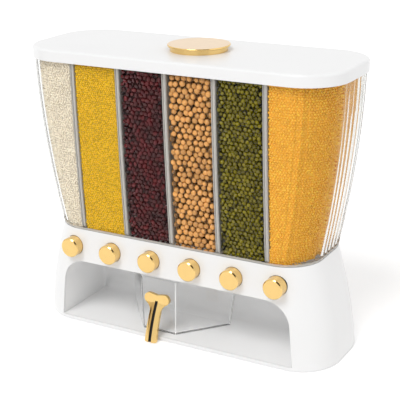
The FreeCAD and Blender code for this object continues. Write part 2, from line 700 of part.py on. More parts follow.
def make_base_shell():
    body = new_body("base_shell")
    loft(body, base_sections(body, "outside", "0"))
    loft(body, base_sections(body, "inside", "base_wall"), "SubtractiveLoft")

    ledge = new_sketch(body, "ledge", z=FLANGE_BOTTOM)
    draw_rounded_rectangle(ledge, *set_in(SEAM, "base_wall / 2"))
    draw_rounded_rectangle(ledge, *set_in(SEAM, "ledge_width"))
    pad(body, ledge, "ledge_thickness", reverse=True)

    for number, (x, y) in enumerate(boss_places()):
        boss = new_sketch(body, "boss_%d" % number, x=x, y=y, z=FLOOR_BOTTOM)
        draw_circle(boss, "boss_radius")
        draw_circle(boss, "screw_radius + screw_gap")
        pad(body, boss, "boss_height")

    sleeve = new_sketch(body, "sleeve", "XZ_Plane", x=button_x(0), y="guide_end", z="button_height")
    draw_circle(sleeve, "button_radius + button_gap + guide_wall")
    sleeve_pad = pad(body, sleeve, "guide_end - %s - base_wall / 2" % PANEL_Y)
    row_pattern(body, sleeve_pad, sleeve)

    web_y = "guide_end - web_thickness"
    bore = new_sketch(body, "bore", "XZ_Plane", x=button_x(0), y=web_y, z="button_height")
    draw_circle(bore, "button_radius + button_gap")
    bore_pocket = pocket(body, bore, "seam_half_depth", reverse=True)
    row_pattern(body, bore_pocket, bore)

    hole = new_sketch(body, "peg_hole", "XZ_Plane", x=button_x(0), y="guide_end", z="button_height")
    draw_circle(hole, "peg_radius + peg_guide_gap")
    hole_pocket = pocket(body, hole, "web_thickness", reverse=True)
    row_pattern(body, hole_pocket, hole)

    opening = new_sketch(body, "opening", "XZ_Plane")
    draw_alcove(opening, "0")
    pocket(body, opening, "foot_half_depth + base_wall", reverse=True)
    return body


def make_alcove_liner():
    block = doc.addObject("Sketcher::SketchObject", "liner_outline")
    bind(block, "Placement.Base.y", "alcove_back + liner_wall")
    block.Placement = Placement(Vector(0, 0, 0), Rotation(Vector(1, 0, 0), 90))
    draw_alcove(block, "liner_wall")
    outer = extrude("liner_block", block, "alcove_back + foot_half_depth", Vector(0, -1, 0))

    space_outline = doc.addObject("Sketcher::SketchObject", "alcove_outline")
    space_outline.Placement = Placement(Vector(0, 0, 0), Rotation(Vector(1, 0, 0), 90))
    bind(space_outline, "Placement.Base.y", "alcove_back")
    draw_alcove(space_outline, "0")
    space = extrude("alcove_space", space_outline, "alcove_back + foot_half_depth", Vector(0, -1, 0))

    inside = part_loft("base_inside", base_sections(None, "base_inside", "base_wall + liner_gap"))
    doc.recompute()

    back = value("alcove_back")
    rounded_space = doc.addObject("Part::Fillet", "rounded_space")
    rounded_space.Base = space
    radius = value("alcove_fillet")
    rear_edges = edges_where(space.Shape, lambda middle, edge: abs(middle.y - back) < 0.01)
    rounded_space.Edges = [(int(name[4:]), radius, radius) for name in rear_edges]

    holes = []
    for number in range(int(value("chamber_count"))):
        x = button_x(number)
        wide = "neck_half_width + spout_wall + spout_gap"
        deep = "neck_half_depth + spout_wall + spout_gap"
        holes.append(
            new_box(
                "spout_hole_%d" % (number + 1),
                "%s - (%s)" % (x, wide),
                "%s + (%s)" % (x, wide),
                "outlet_y - (%s)" % deep,
                "outlet_y + (%s)" % deep,
                "alcove_ceiling - alcove_corner_radius",
                "%s + liner_wall" % TRAY_BOTTOM,
            )
        )
    tools = combine("MultiFuse", "liner_tools", [rounded_space] + holes)
    clipped = combine("MultiCommon", "liner_clipped", [outer, inside])
    liner = cut("alcove_liner", clipped, tools)
    liner.Label = "alcove_liner"
    doc.recompute()
    return liner


def make_bottom_plate():
    body = new_body("bottom_plate")
    outline = new_sketch(body, "outline", z="foot_stand")
    draw_rounded_rectangle(outline, *set_in(FOOT, "base_wall + plate_gap"))
    pad(body, outline, "plate_thickness")
    for number, (x, y) in enumerate(pad_places()):
        recess = new_sketch(body, "recess_%d" % number, x=x, y=y, z="foot_stand")
        draw_circle(recess, "pad_radius + plate_gap / 2")
        pocket(body, recess, "pad_recess", reverse=True)
    for number, (x, y) in enumerate(boss_places()):
        shank = new_sketch(body, "screw_hole_%d" % number, x=x, y=y, z="foot_stand")
        draw_circle(shank, "screw_radius + screw_gap")
        pocket(body, shank, "plate_thickness", reverse=True)
        countersink(
            body,
            "countersink_%d" % number,
            x,
            y,
            "foot_stand",
            "screw_head_radius + screw_gap",
            "screw_radius + screw_gap",
            "screw_head_height",
        )
    return body


def pad_places():
    """The four rubber feet."""
    return [("pad_x * %d" % side, "pad_y * %d" % end) for side in (-1, 1) for end in (-1, 1)]


def make_rubber_feet():
    pads = []
    for number, (x, y) in enumerate(pad_places()):
        foot = doc.addObject("Part::Cylinder", "rubber_foot_%d" % (number + 1))
        bind(foot, "Radius", "pad_radius")
        bind(foot, "Height", "foot_stand + pad_recess")
        bind(foot, "Placement.Base.x", x)
        bind(foot, "Placement.Base.y", y)
        pads.append(foot)
    feet = combine("Compound", "rubber_feet", pads)
    feet.Label = "rubber_feet"
    return feet


def make_bottom_screws():
    screws = []
    for number, (x, y) in enumerate(boss_places()):
        head = doc.addObject("Part::Cone", "screw_head_%d" % (number + 1))
        bind(head, "Radius1", "screw_head_radius")
        bind(head, "Radius2", "screw_radius")
        bind(head, "Height", "screw_head_height")
        shank = doc.addObject("Part::Cylinder", "screw_shank_%d" % (number + 1))
        bind(shank, "Radius", "screw_radius")
        bind(shank, "Height", "screw_length")
        for piece in (head, shank):
            bind(piece, "Placement.Base.x", x)
            bind(piece, "Placement.Base.y", y)
            bind(piece, "Placement.Base.z", "foot_stand")
        screws.append(combine("MultiFuse", "bottom_screw_%d" % (number + 1), [head, shank]))
    group = combine("Compound", "bottom_screws", screws)
    group.Label = "bottom_screws"
    return group


# Funnels, gates and buttons


def mouth_span(number):
    """The low and high x of a funnel's mouth, as formulas."""
    count = int(value("chamber_count"))
    low = "%s + ridge_width / 2" % divider_x(number)
    high = "%s - ridge_width / 2" % divider_x(number + 1)
    if number == 0:
        low = "0 - mouth_half_length"
    if number == count - 1:
        high = "mouth_half_length"
    return low, high


def funnel_wedge(number, side, wall, bottom, top):
    """One funnel as a solid, its mouth and neck grown by a wall.

    The wedge is turned: its own Y runs up and its own Z to the front.
    """
    low, high = mouth_span(number)
    x = button_x(number)
    wedge = doc.addObject("Part::Wedge", "funnel_%s_%d" % (side, number))
    wedge.Placement = Placement(Vector(0, 0, 0), Rotation(Vector(1, 0, 0), 90))
    for prop, text in (
        ("Ymin", bottom),
        ("Ymax", top),
        ("Xmin", "%s - neck_half_width - %s" % (x, wall)),
        ("Xmax", "%s + neck_half_width + %s" % (x, wall)),
        ("Zmin", "0 - outlet_y - neck_half_depth - %s" % wall),
        ("Zmax", "0 - outlet_y + neck_half_depth + %s" % wall),
        ("X2min", "%s - %s" % (low, wall)),
        ("X2max", "%s + %s" % (high, wall)),
        ("Z2min", "0 - mouth_half_depth - %s" % wall),
        ("Z2max", "mouth_half_depth + %s" % wall),
    ):
        bind(wedge, prop, text)
    return wedge


def neck_box(number, side, wall, bottom):
    x = button_x(number)
    return new_box(
        "neck_box_%s_%d" % (side, number),
        "%s - neck_half_width - %s" % (x, wall),
        "%s + neck_half_width + %s" % (x, wall),
        "outlet_y - neck_half_depth - %s" % wall,
        "outlet_y + neck_half_depth + %s" % wall,
        bottom,
        FUNNEL_BOTTOM,
    )


def upright_prism(name, half_length, half_depth, radius, bottom, height):
    sketch = loose_sketch(name + "_outline", "0", "0", bottom)
    draw_rounded_rectangle(sketch, half_length, half_depth, radius)
    return extrude(name, sketch, height, Vector(0, 0, 1))


def make_hopper_floor():
    count = int(value("chamber_count"))
    outside = []
    inside = []
    for number in range(count):
        outside.append(funnel_wedge(number, "outer", "funnel_wall", FUNNEL_BOTTOM, FLANGE_BOTTOM))
        outside.append(neck_box(number, "outer", "funnel_wall", NECK_BOTTOM))
        inside.append(funnel_wedge(number, "inner", "0", FUNNEL_BOTTOM, "base_height"))
        inside.append(neck_box(number, "inner", "0", NECK_BOTTOM))
    inset = "base_wall + flange_gap"
    flange = upright_prism(
        "hopper_flange",
        "seam_half_length - (%s)" % inset,
        "seam_half_depth - (%s)" % inset,
        "seam_corner_radius - (%s)" % inset,
        FLANGE_BOTTOM,
        "flange_thickness",
    )
    below = upright_prism(
        "funnels_outline",
        "mouth_half_length + funnel_wall",
        "mouth_half_depth + funnel_wall",
        "mouth_corner_radius + funnel_wall",
        NECK_BOTTOM,
        "%s - %s" % (FLANGE_BOTTOM, NECK_BOTTOM),
    )
    mouths = upright_prism(
        "mouths_outline",
        "mouth_half_length",
        "mouth_half_depth",
        "mouth_corner_radius",
        NECK_BOTTOM,
        "base_height - %s" % NECK_BOTTOM,
    )
    groove_outer = upright_prism(
        "groove_outer",
        LIP_LENGTH + " + lip_gap",
        LIP_DEPTH + " + lip_gap",
        LIP_RADIUS + " + lip_gap",
        "base_height - lip_depth - lip_gap",
        "lip_depth + lip_gap",
    )
    groove_inner = upright_prism(
        "groove_inner",
        LIP_LENGTH + " - lip_wall - lip_gap",
        LIP_DEPTH + " - lip_wall - lip_gap",
        LIP_RADIUS + " - lip_wall - lip_gap",
        "base_height - lip_depth - lip_gap",
        "lip_depth + lip_gap",
    )
    funnels = combine("MultiCommon", "funnels", [combine("MultiFuse", "funnel_shells", outside), below])
    spaces = combine("MultiCommon", "funnel_spaces", [combine("MultiFuse", "funnel_insides", inside), mouths])
    groove = cut("lip_groove", groove_outer, groove_inner)
    solid = combine("MultiFuse", "hopper_solid", [flange, funnels])
    hopper = cut("hopper_floor", solid, combine("MultiFuse", "hopper_tools", [spaces, groove]))
    hopper.Label = "hopper_floor"
    doc.recompute()
    return hopper


def make_gate_tray():
    body = new_body("gate_tray")
    plate = new_sketch(body, "plate", y="(tray_front + tray_rear) / 2", z=TRAY_BOTTOM)
    draw_rectangle(plate, "tray_half_length", "(tray_rear - tray_front) / 2")
    pad(body, plate, "tray_thickness")

    spout = new_sketch(body, "spout", x=button_x(0), y="outlet_y", z="spout_end")
    draw_rectangle(spout, "neck_half_width + spout_wall", "neck_half_depth + spout_wall")
    row_pattern(body, pad(body, spout, "%s - spout_end" % TRAY_TOP), spout)

    outlet = new_sketch(body, "outlet", x=button_x(0), y="outlet_y", z=TRAY_TOP)
    draw_rectangle(outlet, "neck_half_width", "neck_half_depth")
    row_pattern(body, pocket(body, outlet, "%s - spout_end" % TRAY_TOP), outlet)

    for side in (-1, 1):
        rail = new_sketch(
            body,
            "rail_left" if side < 0 else "rail_right",
            x="%s + %d * (gate_half_width + gate_gap + guide_rail_width / 2)" % (button_x(0), side),
            y="(tray_front + tray_rear) / 2",
            z=TRAY_TOP,
        )
        draw_rectangle(rail, "guide_rail_width / 2", "(tray_rear - tray_front) / 2")
        row_pattern(body, pad(body, rail, "gate_gap + gate_thickness"), rail)
    return body


def make_tank_gasket():
    body = new_body("tank_gasket")
    ring = new_sketch(body, "ring", z="base_height")
    draw_rounded_rectangle(
        ring, "seam_half_length - plate_gap", "seam_half_depth - plate_gap", "seam_corner_radius - plate_gap"
    )
    draw_rounded_rectangle(ring, *set_in(SEAM, "gasket_width"))
    pad(body, ring, "gasket_thickness")
    return body


def make_slide_gate(number):
    """A gate plate with its hole, an upright at its front and the peg that carries the button."""
    body = new_body("slide_gate_%d" % (number + 1), x=button_x(number))
    hole_rear = "(%s + neck_half_depth)" % GATE_HOLE_Y
    rear = "(%s + gate_rear)" % hole_rear
    plate = new_sketch(body, "plate", y="(%s + %s) / 2" % (GATE_FRONT, rear), z=GATE_BOTTOM)
    draw_rectangle(plate, "gate_half_width", "(%s - %s) / 2" % (rear, GATE_FRONT))
    pad(body, plate, "gate_thickness")

    hole = new_sketch(body, "hole", y=GATE_HOLE_Y, z=GATE_TOP)
    draw_rectangle(hole, "neck_half_width", "neck_half_depth")
    pocket(body, hole, "gate_thickness")

    post = new_sketch(body, "post", y="%s + post_thickness / 2" % GATE_FRONT, z=GATE_BOTTOM)
    draw_rectangle(post, "post_half_width", "post_thickness / 2")
    pad(body, post, "button_height + post_half_width - %s" % GATE_BOTTOM)

    peg = new_sketch(body, "peg", "XZ_Plane", y=GATE_FRONT, z="button_height")
    draw_circle(peg, "peg_radius")
    pad(body, peg, "%s - %s - button_wall - peg_guide_gap" % (GATE_FRONT, BUTTON_FACE))
    return body


def make_button(number):
    """A hollow cap with a socket for the gate's peg."""
    body = new_body("button_%d" % (number + 1), x=button_x(number), z="button_height")
    cap = new_sketch(body, "cap", "XZ_Plane", y=BUTTON_FACE)
    draw_circle(cap, "button_radius")
    pad(body, cap, "button_skirt + button_wall", reverse=True)
    front = value(BUTTON_FACE)
    edge = edges_where(body.Shape, lambda middle, e: abs(middle.y - front) < 0.01)
    chamfer_edges(body, edge, "button_edge")

    hollow = new_sketch(body, "hollow", "XZ_Plane", y="%s + button_wall" % BUTTON_FACE)
    draw_circle(hollow, "button_radius - button_wall")
    pocket(body, hollow, "button_skirt")

    socket = new_sketch(body, "socket", "XZ_Plane", y="%s + button_wall" % BUTTON_FACE)
    draw_circle(socket, "peg_radius + peg_gap + socket_wall")
    draw_circle(socket, "peg_radius + peg_gap")
    pad(body, socket, "button_skirt - button_travel / 2", reverse=True)
    return body


def make_spring(number):
    """The return spring's envelope, between the button's face and the sleeve's web."""
    body = new_body("spring_%d" % (number + 1), x=button_x(number), z="button_height")
    ring = new_sketch(body, "ring", "XZ_Plane", y="guide_end - web_thickness")
    draw_circle(ring, "spring_radius")
    draw_circle(ring, "spring_radius - spring_wall")
    pad(body, ring, "guide_end - web_thickness - %s - button_wall" % BUTTON_FACE)
    return body


# Tank and dividers


def make_tank():
    outside = Part.makeLoft([fluted_wire(share) for share in LEVELS], True, True)
    room = tank_space("tank_wall", low="foot_ring_height")
    lip_size = [value(LIP_LENGTH), value(LIP_DEPTH), value(LIP_RADIUS)]
    lip_inner = [size - value("lip_wall") for size in lip_size]
    foot = value(FOOT_Z)
    lip_low = value("base_height - lip_depth")
    ring_top = value("%s + foot_ring_height" % FOOT_Z)
    way = Part.Face(rounded_wire(*lip_inner, lip_low)).extrude(Vector(0, 0, ring_top - lip_low))
    lip = Part.Face(rounded_wire(*lip_size, lip_low)).extrude(Vector(0, 0, ring_top - lip_low))
    shell = outside.cut(room).fuse(lip).cut(way)

    # rails in pairs, one each side of every divider, on the front and back walls
    strip = tank_space("tank_wall - 0.4", low="foot_ring_height", high=RAIL_TOP_MARGIN)
    strip = strip.cut(tank_space("tank_wall + rail_depth", low="0", high="0"))
    slot = value("divider_thickness / 2 + divider_gap")
    width = value("rail_width")
    depth = value("lid_half_depth")
    rails = []
    for number in range(1, int(value("chamber_count"))):
        x = value(divider_x(number))
        for side in (-1, 1):
            start = x + side * slot if side > 0 else x - slot - width
            rails.append(Part.makeBox(width, 2 * depth, value("tank_height"), Vector(start, -depth, foot)))
    rails = Part.makeCompound(rails).common(strip)
    tank = shell.fuse(rails.Solids).removeSplitter()
    return shaped("tank", tank)


def make_divider(number):
    """A plate that fills the tank's section between two pairs of rails, down to the ridge below."""
    x = value(divider_x(number)) - value("divider_thickness / 2")
    thickness = value("divider_thickness")
    gap = value("divider_gap")
    low = value("base_height") + gap
    ring_top = value("%s + foot_ring_height" % FOOT_Z)
    half_tongue = value("%s - lip_wall - divider_gap" % LIP_DEPTH)
    depth = value("lid_half_depth")
    plate = Part.makeBox(thickness, 2 * depth, value("tank_height"), Vector(x, -depth, ring_top + gap))
    plate = plate.common(
        tank_space("tank_wall + divider_gap", low="foot_ring_height + divider_gap", high=RAIL_TOP_MARGIN)
    )
    tongue = Part.makeBox(thickness, 2 * half_tongue, ring_top + 2 * gap - low, Vector(x, -half_tongue, low))
    return shaped("divider_%d" % number, plate.fuse(tongue).removeSplitter())


# Lid and knob


def make_lid():
    body = new_body("lid")
    top = new_sketch(body, "top", z=LID_TOP)
    draw_rounded_rectangle(top, "lid_half_length", "lid_half_depth", "lid_corner_radius")
    pad(body, top, "lid_skirt", reverse=True)
    height = value(LID_TOP)
    edges = edges_where(body.Shape, lambda middle, e: abs(middle.z - height) < 0.01)
    round_edges(body, edges, "lid_edge")

    hollow = new_sketch(body, "hollow", z="%s - lid_skirt" % LID_TOP)
    draw_rounded_rectangle(
        hollow, "lid_half_length - lid_wall", "lid_half_depth - lid_wall", "lid_corner_radius - lid_wall"
    )
    pocket(body, hollow, "lid_skirt - lid_plate", reverse=True)

    ring = new_sketch(body, "ring", z=TANK_TOP)
    for inset in ("0", "lid_ring_wall"):
        draw_rounded_rectangle(
            ring,
            "%s - seal_width - (%s)" % (SEAL_LENGTH, inset),
            "%s - seal_width - (%s)" % (SEAL_DEPTH, inset),
            "%s - seal_width - (%s)" % (SEAL_RADIUS, inset),
        )
    pad(body, ring, "lid_ring_height - divider_gap", reverse=True)

    hole = new_sketch(body, "knob_hole", x="knob_x", z=LID_TOP)
    draw_circle(hole, "knob_screw_radius + screw_gap")
    pocket(body, hole, "lid_plate")
    return body


def make_lid_seal():
    body = new_body("lid_seal")
    ring = new_sketch(body, "ring", z=TANK_TOP)
    for inset in ("0", "seal_width"):
        draw_rounded_rectangle(ring, *set_in((SEAL_LENGTH, SEAL_DEPTH, SEAL_RADIUS), inset))
    pad(body, ring, "seal_height", reverse=True)
    return body


def make_knob_collar():
    body = new_body("knob_collar", x="knob_x", z=LID_TOP)
    ring = new_sketch(body, "ring")
    draw_circle(ring, "collar_radius")
    draw_circle(ring, "collar_radius - collar_wall")
    pad(body, ring, "collar_height")
    return body


def make_knob_disc():
    """The disc with a stud below that takes the screw through the lid."""
    body = new_body("knob_disc", x="knob_x", z="%s + collar_height" % LID_TOP)
    disc = new_sketch(body, "disc")
    draw_circle(disc, "knob_radius")
    pad(body, disc, "knob_thickness")
    edges = edges_where(body.Shape, lambda middle, e: e.Curve.TypeId == "Part::GeomCircle")
    chamfer_edges(body, edges, "knob_edge")
    stud = new_sketch(body, "stud", z="0 - collar_height")
    draw_circle(stud, "knob_stud_radius")
    draw_circle(stud, "knob_screw_radius + screw_gap")
    pad(body, stud, "collar_height")
    return body


def make_knob_screw():
    head = doc.addObject("Part::Cylinder", "knob_screw_head")
    bind(head, "Radius", "knob_screw_head_radius")
    bind(head, "Height", "knob_screw_head_height")
    bind(head, "Placement.Base.z", "%s - knob_screw_head_height" % TANK_TOP)
    shank = doc.addObject("Part::Cylinder", "knob_screw_shank")
    bind(shank, "Radius", "knob_screw_radius")
    bind(shank, "Height", "lid_plate + collar_height - screw_gap")
    bind(shank, "Placement.Base.z", TANK_TOP)
    for piece in (head, shank):
        bind(piece, "Placement.Base.x", "knob_x")
    screw = combine("MultiFuse", "knob_screw", [head, shank])
    screw.Label = "knob_screw"
    return screw


# Scoop and its handle


def fan_wire(front, depth, front_half, back_half, radius, z):
    """The scoop's plan at one height: a narrow front, splayed sides and a wide back, with round corners."""
    corners = [
        Vector(front_half, front, z),
        Vector(back_half, front + depth, z),
        Vector(-back_half, front + depth, z),
        Vector(-front_half, front, z),
    ]
    edges = []
    ends = []
    for number, corner in enumerate(corners):
        before = (corners[number - 1] - corner).normalize()
        after = (corners[(number + 1) % 4] - corner).normalize()
        half_angle = before.getAngle(after) / 2
        reach = radius / math.tan(half_angle)
        bisector = (before + after).normalize()
        middle = corner + bisector * (radius / math.sin(half_angle) - radius)
        ends.append((corner + before * reach, middle, corner + after * reach))
    for number in range(4):
        edges.append(Part.Arc(*ends[number]).toShape())
        edges.append(Part.LineSegment(ends[number][2], ends[(number + 1) % 4][0]).toShape())
    return Part.Wire(edges)


def cup_section(share, inset, z):
    """The scoop's plan at a share of its height, set in by a wall."""
    front = value("cup_front")
    depth = value("cup_depth") + value("cup_back_lean") * share
    at_front = value("cup_front_half_width") + value("cup_front_flare") * share
    at_back = value("cup_back_half_width") + value("cup_back_flare") * share
    splay = math.atan2(at_back - at_front, depth)
    front_half = at_front - inset / math.cos(splay) + inset * math.tan(splay)
    back_half = at_back - inset / math.cos(splay) - inset * math.tan(splay)
    radius = value("cup_corner_radius") - inset
    return fan_wire(front + inset, depth - 2 * inset, front_half, back_half, radius, z)


def lobe_places():
    """The two screw axes of the handle: x from the scoop's middle, and height."""
    z = value("handle_top - lobe_radius")
    return [(side * value("lobe_offset"), z) for side in (-1, 1)]


def wall_frame(x, z):
    """A placement on the scoop's front wall whose own Z axis points out of the wall."""
    return Placement(Vector(x, value("cup_front"), z), Rotation(Vector(1, 0, 0), 90))


def make_cup():
    wall = value("cup_wall")
    low = value(FLOOR_TOP)
    high = low + value("cup_height")
    slope = value("cup_floor_edge")

    def walls(inset, floor):
        levels = ((0, inset + slope, floor), (0, inset, floor + slope), (1, inset, high))
        return Part.makeLoft([cup_section(*level) for level in levels], True, True)

    outside = walls(0, low)
    inside = walls(wall, low + wall)
    cup = outside.cut(inside)
    for x, z in lobe_places():
        hole = Part.makeCylinder(value("handle_screw_radius + screw_gap"), 4 * wall, Vector(0, 0, -2 * wall))
        hole.Placement = wall_frame(x, z).multiply(hole.Placement)
        cup = cup.cut(hole)
    return shaped("cup", cup, "cup_x")


def handle_front_face():
    """The handle from the front: two round lobes with a notch between them, shoulders and a straight bar."""
    top = value("handle_top")
    radius = value("lobe_radius")
    lobe = Vector(value("lobe_offset"), 0, top - radius)
    turn = math.radians(value("lobe_turn"))
    dip = value("lobe_notch")
    notch = Vector(0, 0, top - dip)
    brow = Vector(lobe.x / 2, 0, top - 0.4 * dip)
    crest = lobe + Vector(0, 0, radius)
    side = lobe + Vector(radius, 0, 0)
    under = lobe + Vector(math.cos(turn), 0, -math.sin(turn)) * radius
    neck = Vector(value("handle_waist"), 0, top - value("handle_taper"))
    shoulder = (under + neck) * 0.5 + Vector(-1, 0, 0.5) * value("shoulder_hollow")
    right = [
        Part.Arc(notch, brow, crest).toShape(),
        Part.Arc(crest, side, under).toShape(),
        Part.Arc(under, shoulder, neck).toShape(),
        Part.LineSegment(neck, Vector(value("handle_end"), 0, value("handle_bottom"))).toShape(),
    ]
    left = [edge.mirror(Vector(0, 0, 0), Vector(1, 0, 0)) for edge in right]
    end = Vector(value("handle_end"), 0, value("handle_bottom"))
    foot = Part.LineSegment(end, Vector(-end.x, 0, end.z)).toShape()
    return Part.Face(Part.Wire(Part.__sortEdges__(right + left + [foot])))


def handle_side_face():
    """The handle from the side: flat on the scoop's wall at its top, then a sweep down and forwards."""
    top = value("handle_top")
    bottom = value("handle_bottom")
    thick = value("handle_thickness")
    root_z = top - value("handle_contact")
    front = value("cup_front")
    tip_y = front - value("handle_reach")
    wall_top = Vector(0, front, top)
    wall_root = Vector(0, front, root_z)
    out_top = wall_top + Vector(0, -0.6 * thick, 0)
    out_root = wall_root + Vector(0, -0.8 * thick, 0)
    tip_front = Vector(0, tip_y, bottom)
    tip_back = Vector(0, tip_y + thick, bottom)
    bow = Vector(0, -0.3 * thick, 0)
    edges = [
        Part.LineSegment(wall_top, wall_root).toShape(),
        Part.Arc(wall_root, (wall_root + tip_back) * 0.5 + bow, tip_back).toShape(),
        Part.LineSegment(tip_back, tip_front).toShape(),
        Part.Arc(tip_front, (tip_front + out_root) * 0.5 + bow, out_root).toShape(),
        Part.LineSegment(out_root, out_top).toShape(),
        Part.LineSegment(out_top, wall_top).toShape(),
    ]
    return Part.Face(Part.Wire(edges))


def make_cup_handle():
    width = 2 * value("lobe_offset + lobe_radius")
    side = handle_side_face().extrude(Vector(width, 0, 0))
    side.translate(Vector(-width / 2, 0, 0))
    reach = 3 * value("handle_reach")
    front = handle_front_face()
    front.translate(Vector(0, value("cup_front") - reach, 0))
    handle = side.common(front.extrude(Vector(0, 2 * reach, 0)))

    # the groove takes a layer off the bar's front, as deep as the strip has been moved back
    groove = value("handle_groove_width")
    strip = handle_side_face().extrude(Vector(groove, 0, 0))
    strip.translate(Vector(-groove / 2, 0, 0))
    behind = strip.copy()
    behind.translate(Vector(0, value("handle_groove_depth"), 0))
    groove_top = value("handle_top - handle_groove_top")
    above = Part.makeBox(2 * groove, 2 * reach, reach, Vector(-groove, -reach, groove_top))
    handle = handle.cut(strip.cut(behind).cut(above))
    for x, z in lobe_places():
        depth = value("handle_screw_length") - value("cup_wall") + value("screw_gap")
        hole = Part.makeCylinder(value("handle_screw_radius + screw_gap"), 2 * depth, Vector(0, 0, -depth))
        hole.Placement = wall_frame(x, z).multiply(hole.Placement)
        handle = handle.cut(hole)
    return shaped("cup_handle", handle, "cup_x")


def make_handle_screws():
    """Two pan-head screws from inside the scoop into the handle's lobes."""
    screws = []
    wall = value("cup_wall")
    length = value("handle_screw_length")
    head_height = value("screw_head_height")
    for x, z in lobe_places():
        shank = Part.makeCylinder(value("handle_screw_radius"), length, Vector(0, 0, -wall))
        head_radius = value("handle_screw_head_radius")
        head = Part.makeCylinder(head_radius, head_height, Vector(0, 0, -wall - head_height))
        screw = shank.fuse(head).removeSplitter()
        screw.Placement = wall_frame(x, z)
        screws += screw.Solids
    return shaped("handle_screws", Part.makeCompound(screws), "cup_x")


# The whole dispenser

pieces = [
    make_base_shell(),
    make_alcove_liner(),
    make_bottom_plate(),
    make_rubber_feet(),
    make_bottom_screws(),
    make_hopper_floor(),
    make_gate_tray(),
    make_tank_gasket(),
    make_tank(),
    make_lid(),
    make_lid_seal(),
    make_knob_collar(),
    make_knob_disc(),
    make_knob_screw(),
    make_cup(),
    make_cup_handle(),
    make_handle_screws(),
]
for chamber in range(int(value("chamber_count"))):
    pieces += [make_button(chamber), make_slide_gate(chamber), make_spring(chamber)]
for wall_number in range(1, int(value("chamber_count"))):
    pieces.append(make_divider(wall_number))
doc.recompute()

for thing in doc.Objects:
    if "Invalid" in thing.State or "Error" in thing.State:
        raise ValueError("%s did not build: %s" % (thing.Label, thing.State))
for piece in pieces:
    if piece.Shape.isNull() or not piece.Shape.isValid():
        raise ValueError("%s has no valid shape" % piece.Label)
for piece in pieces:
    piece.Shape.exportStep("parts/%s.step" % piece.Label)
    print("%-16s solids %d volume %.0f" % (piece.Label, len(piece.Shape.Solids), piece.Shape.Volume))
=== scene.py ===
import json
import math

from typing import NamedTuple

import bmesh
import bpy
import numpy as np
from mathutils import Matrix, Vector


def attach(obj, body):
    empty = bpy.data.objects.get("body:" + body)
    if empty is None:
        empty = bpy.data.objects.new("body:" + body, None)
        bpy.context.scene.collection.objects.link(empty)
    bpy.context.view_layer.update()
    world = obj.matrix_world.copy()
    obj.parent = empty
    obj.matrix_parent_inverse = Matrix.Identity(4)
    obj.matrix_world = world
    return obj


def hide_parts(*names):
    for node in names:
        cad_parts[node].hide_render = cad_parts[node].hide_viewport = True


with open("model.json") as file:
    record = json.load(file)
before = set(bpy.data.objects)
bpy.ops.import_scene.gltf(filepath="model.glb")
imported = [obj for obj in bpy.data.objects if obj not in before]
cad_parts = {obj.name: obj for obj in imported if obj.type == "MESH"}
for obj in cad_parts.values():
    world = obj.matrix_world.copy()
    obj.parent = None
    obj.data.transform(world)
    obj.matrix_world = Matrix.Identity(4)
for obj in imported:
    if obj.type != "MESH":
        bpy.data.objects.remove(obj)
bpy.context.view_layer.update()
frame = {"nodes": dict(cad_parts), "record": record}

bl_info = {
    "name": "Dry food dispenser",
    "version": (1, 0, 0),
    "blender": (4, 5, 0),
    "location": "3D View > Sidebar > Dispenser",
    "description": "A six-chamber dry food dispenser, modelled round its packed CAD frame",
    "category": "Add Mesh",
}

MM = 0.001
CHAMBERS = 6
DIVIDER_PITCH = 60.0
BUTTON_PITCH = 53.2
# The name of a grain's painted-shade value: 1 where its skin faces the tank's wall, 0 on its side and behind
PAINTED_SHADE_ATTRIBUTE = "outward"


# Sizes and colours that a user would change


def colour(name, text, default):
    """A colour property that starts from an sRGB hex value."""
    return bpy.props.FloatVectorProperty(
        name=name, description=text, subtype="COLOR", size=4, min=0, max=1, default=linear(default)
    )


def millimetres(name, text, default):
    """A length property in millimetres."""
    return bpy.props.FloatProperty(name=name, description=text, default=default, min=0)


def linear(hex_colour):
    """An sRGB hex colour as linear red, green, blue and alpha."""
    channels = [int(hex_colour[start:start + 2], 16) / 255 for start in (1, 3, 5)]
    return tuple(c / 12.92 if c <= 0.04045 else ((c + 0.055) / 1.055) ** 2.4 for c in channels) + (1.0,)


class BodySizes(bpy.types.PropertyGroup):
    foot_length: millimetres("Foot length", "Half the base's length at the floor, in mm", 190.9)
    foot_depth: millimetres("Foot depth", "Half the base's depth at the floor, in mm", 66.0)
    foot_radius: millimetres("Foot corner", "Corner radius of the base at the floor, in mm", 47.9)
    seam_length: millimetres("Seam length", "Half the length where base and tank meet, in mm", 168.0)
    seam_depth: millimetres("Seam depth", "Half the depth where base and tank meet, in mm", 61.0)
    seam_radius: millimetres("Seam corner", "Corner radius where base and tank meet, in mm", 42.5)
    lid_length: millimetres("Lid length", "Half the lid's length, in mm", 195.0)
    lid_depth: millimetres("Lid depth", "Half the lid's depth, in mm", 71.9)
    lid_radius: millimetres("Lid corner", "Corner radius of the lid, in mm", 48.9)
    base_low: millimetres("Base foot", "Height of the base's lower edge, in mm", 0.8)
    base_top: millimetres("Base top", "Height of the base's rim, in mm", 118.8)
    tank_low: millimetres("Tank foot", "Height of the tank's foot, in mm", 119.6)
    tank_top: millimetres("Tank top", "Height of the tank's rim, in mm", 330.4)
    lid_top: millimetres("Lid top", "Height of the lid's top, in mm", 333.4)
    lid_skirt: millimetres("Lid edge", "Height of the lid's edge, in mm", 13.6)
    flute_depth: millimetres("Flute depth", "Depth of the flutes on the tank's ends, in mm", 0.9)
    tank_wall: millimetres("Tank wall", "Wall of the tank, in mm", 2.5)


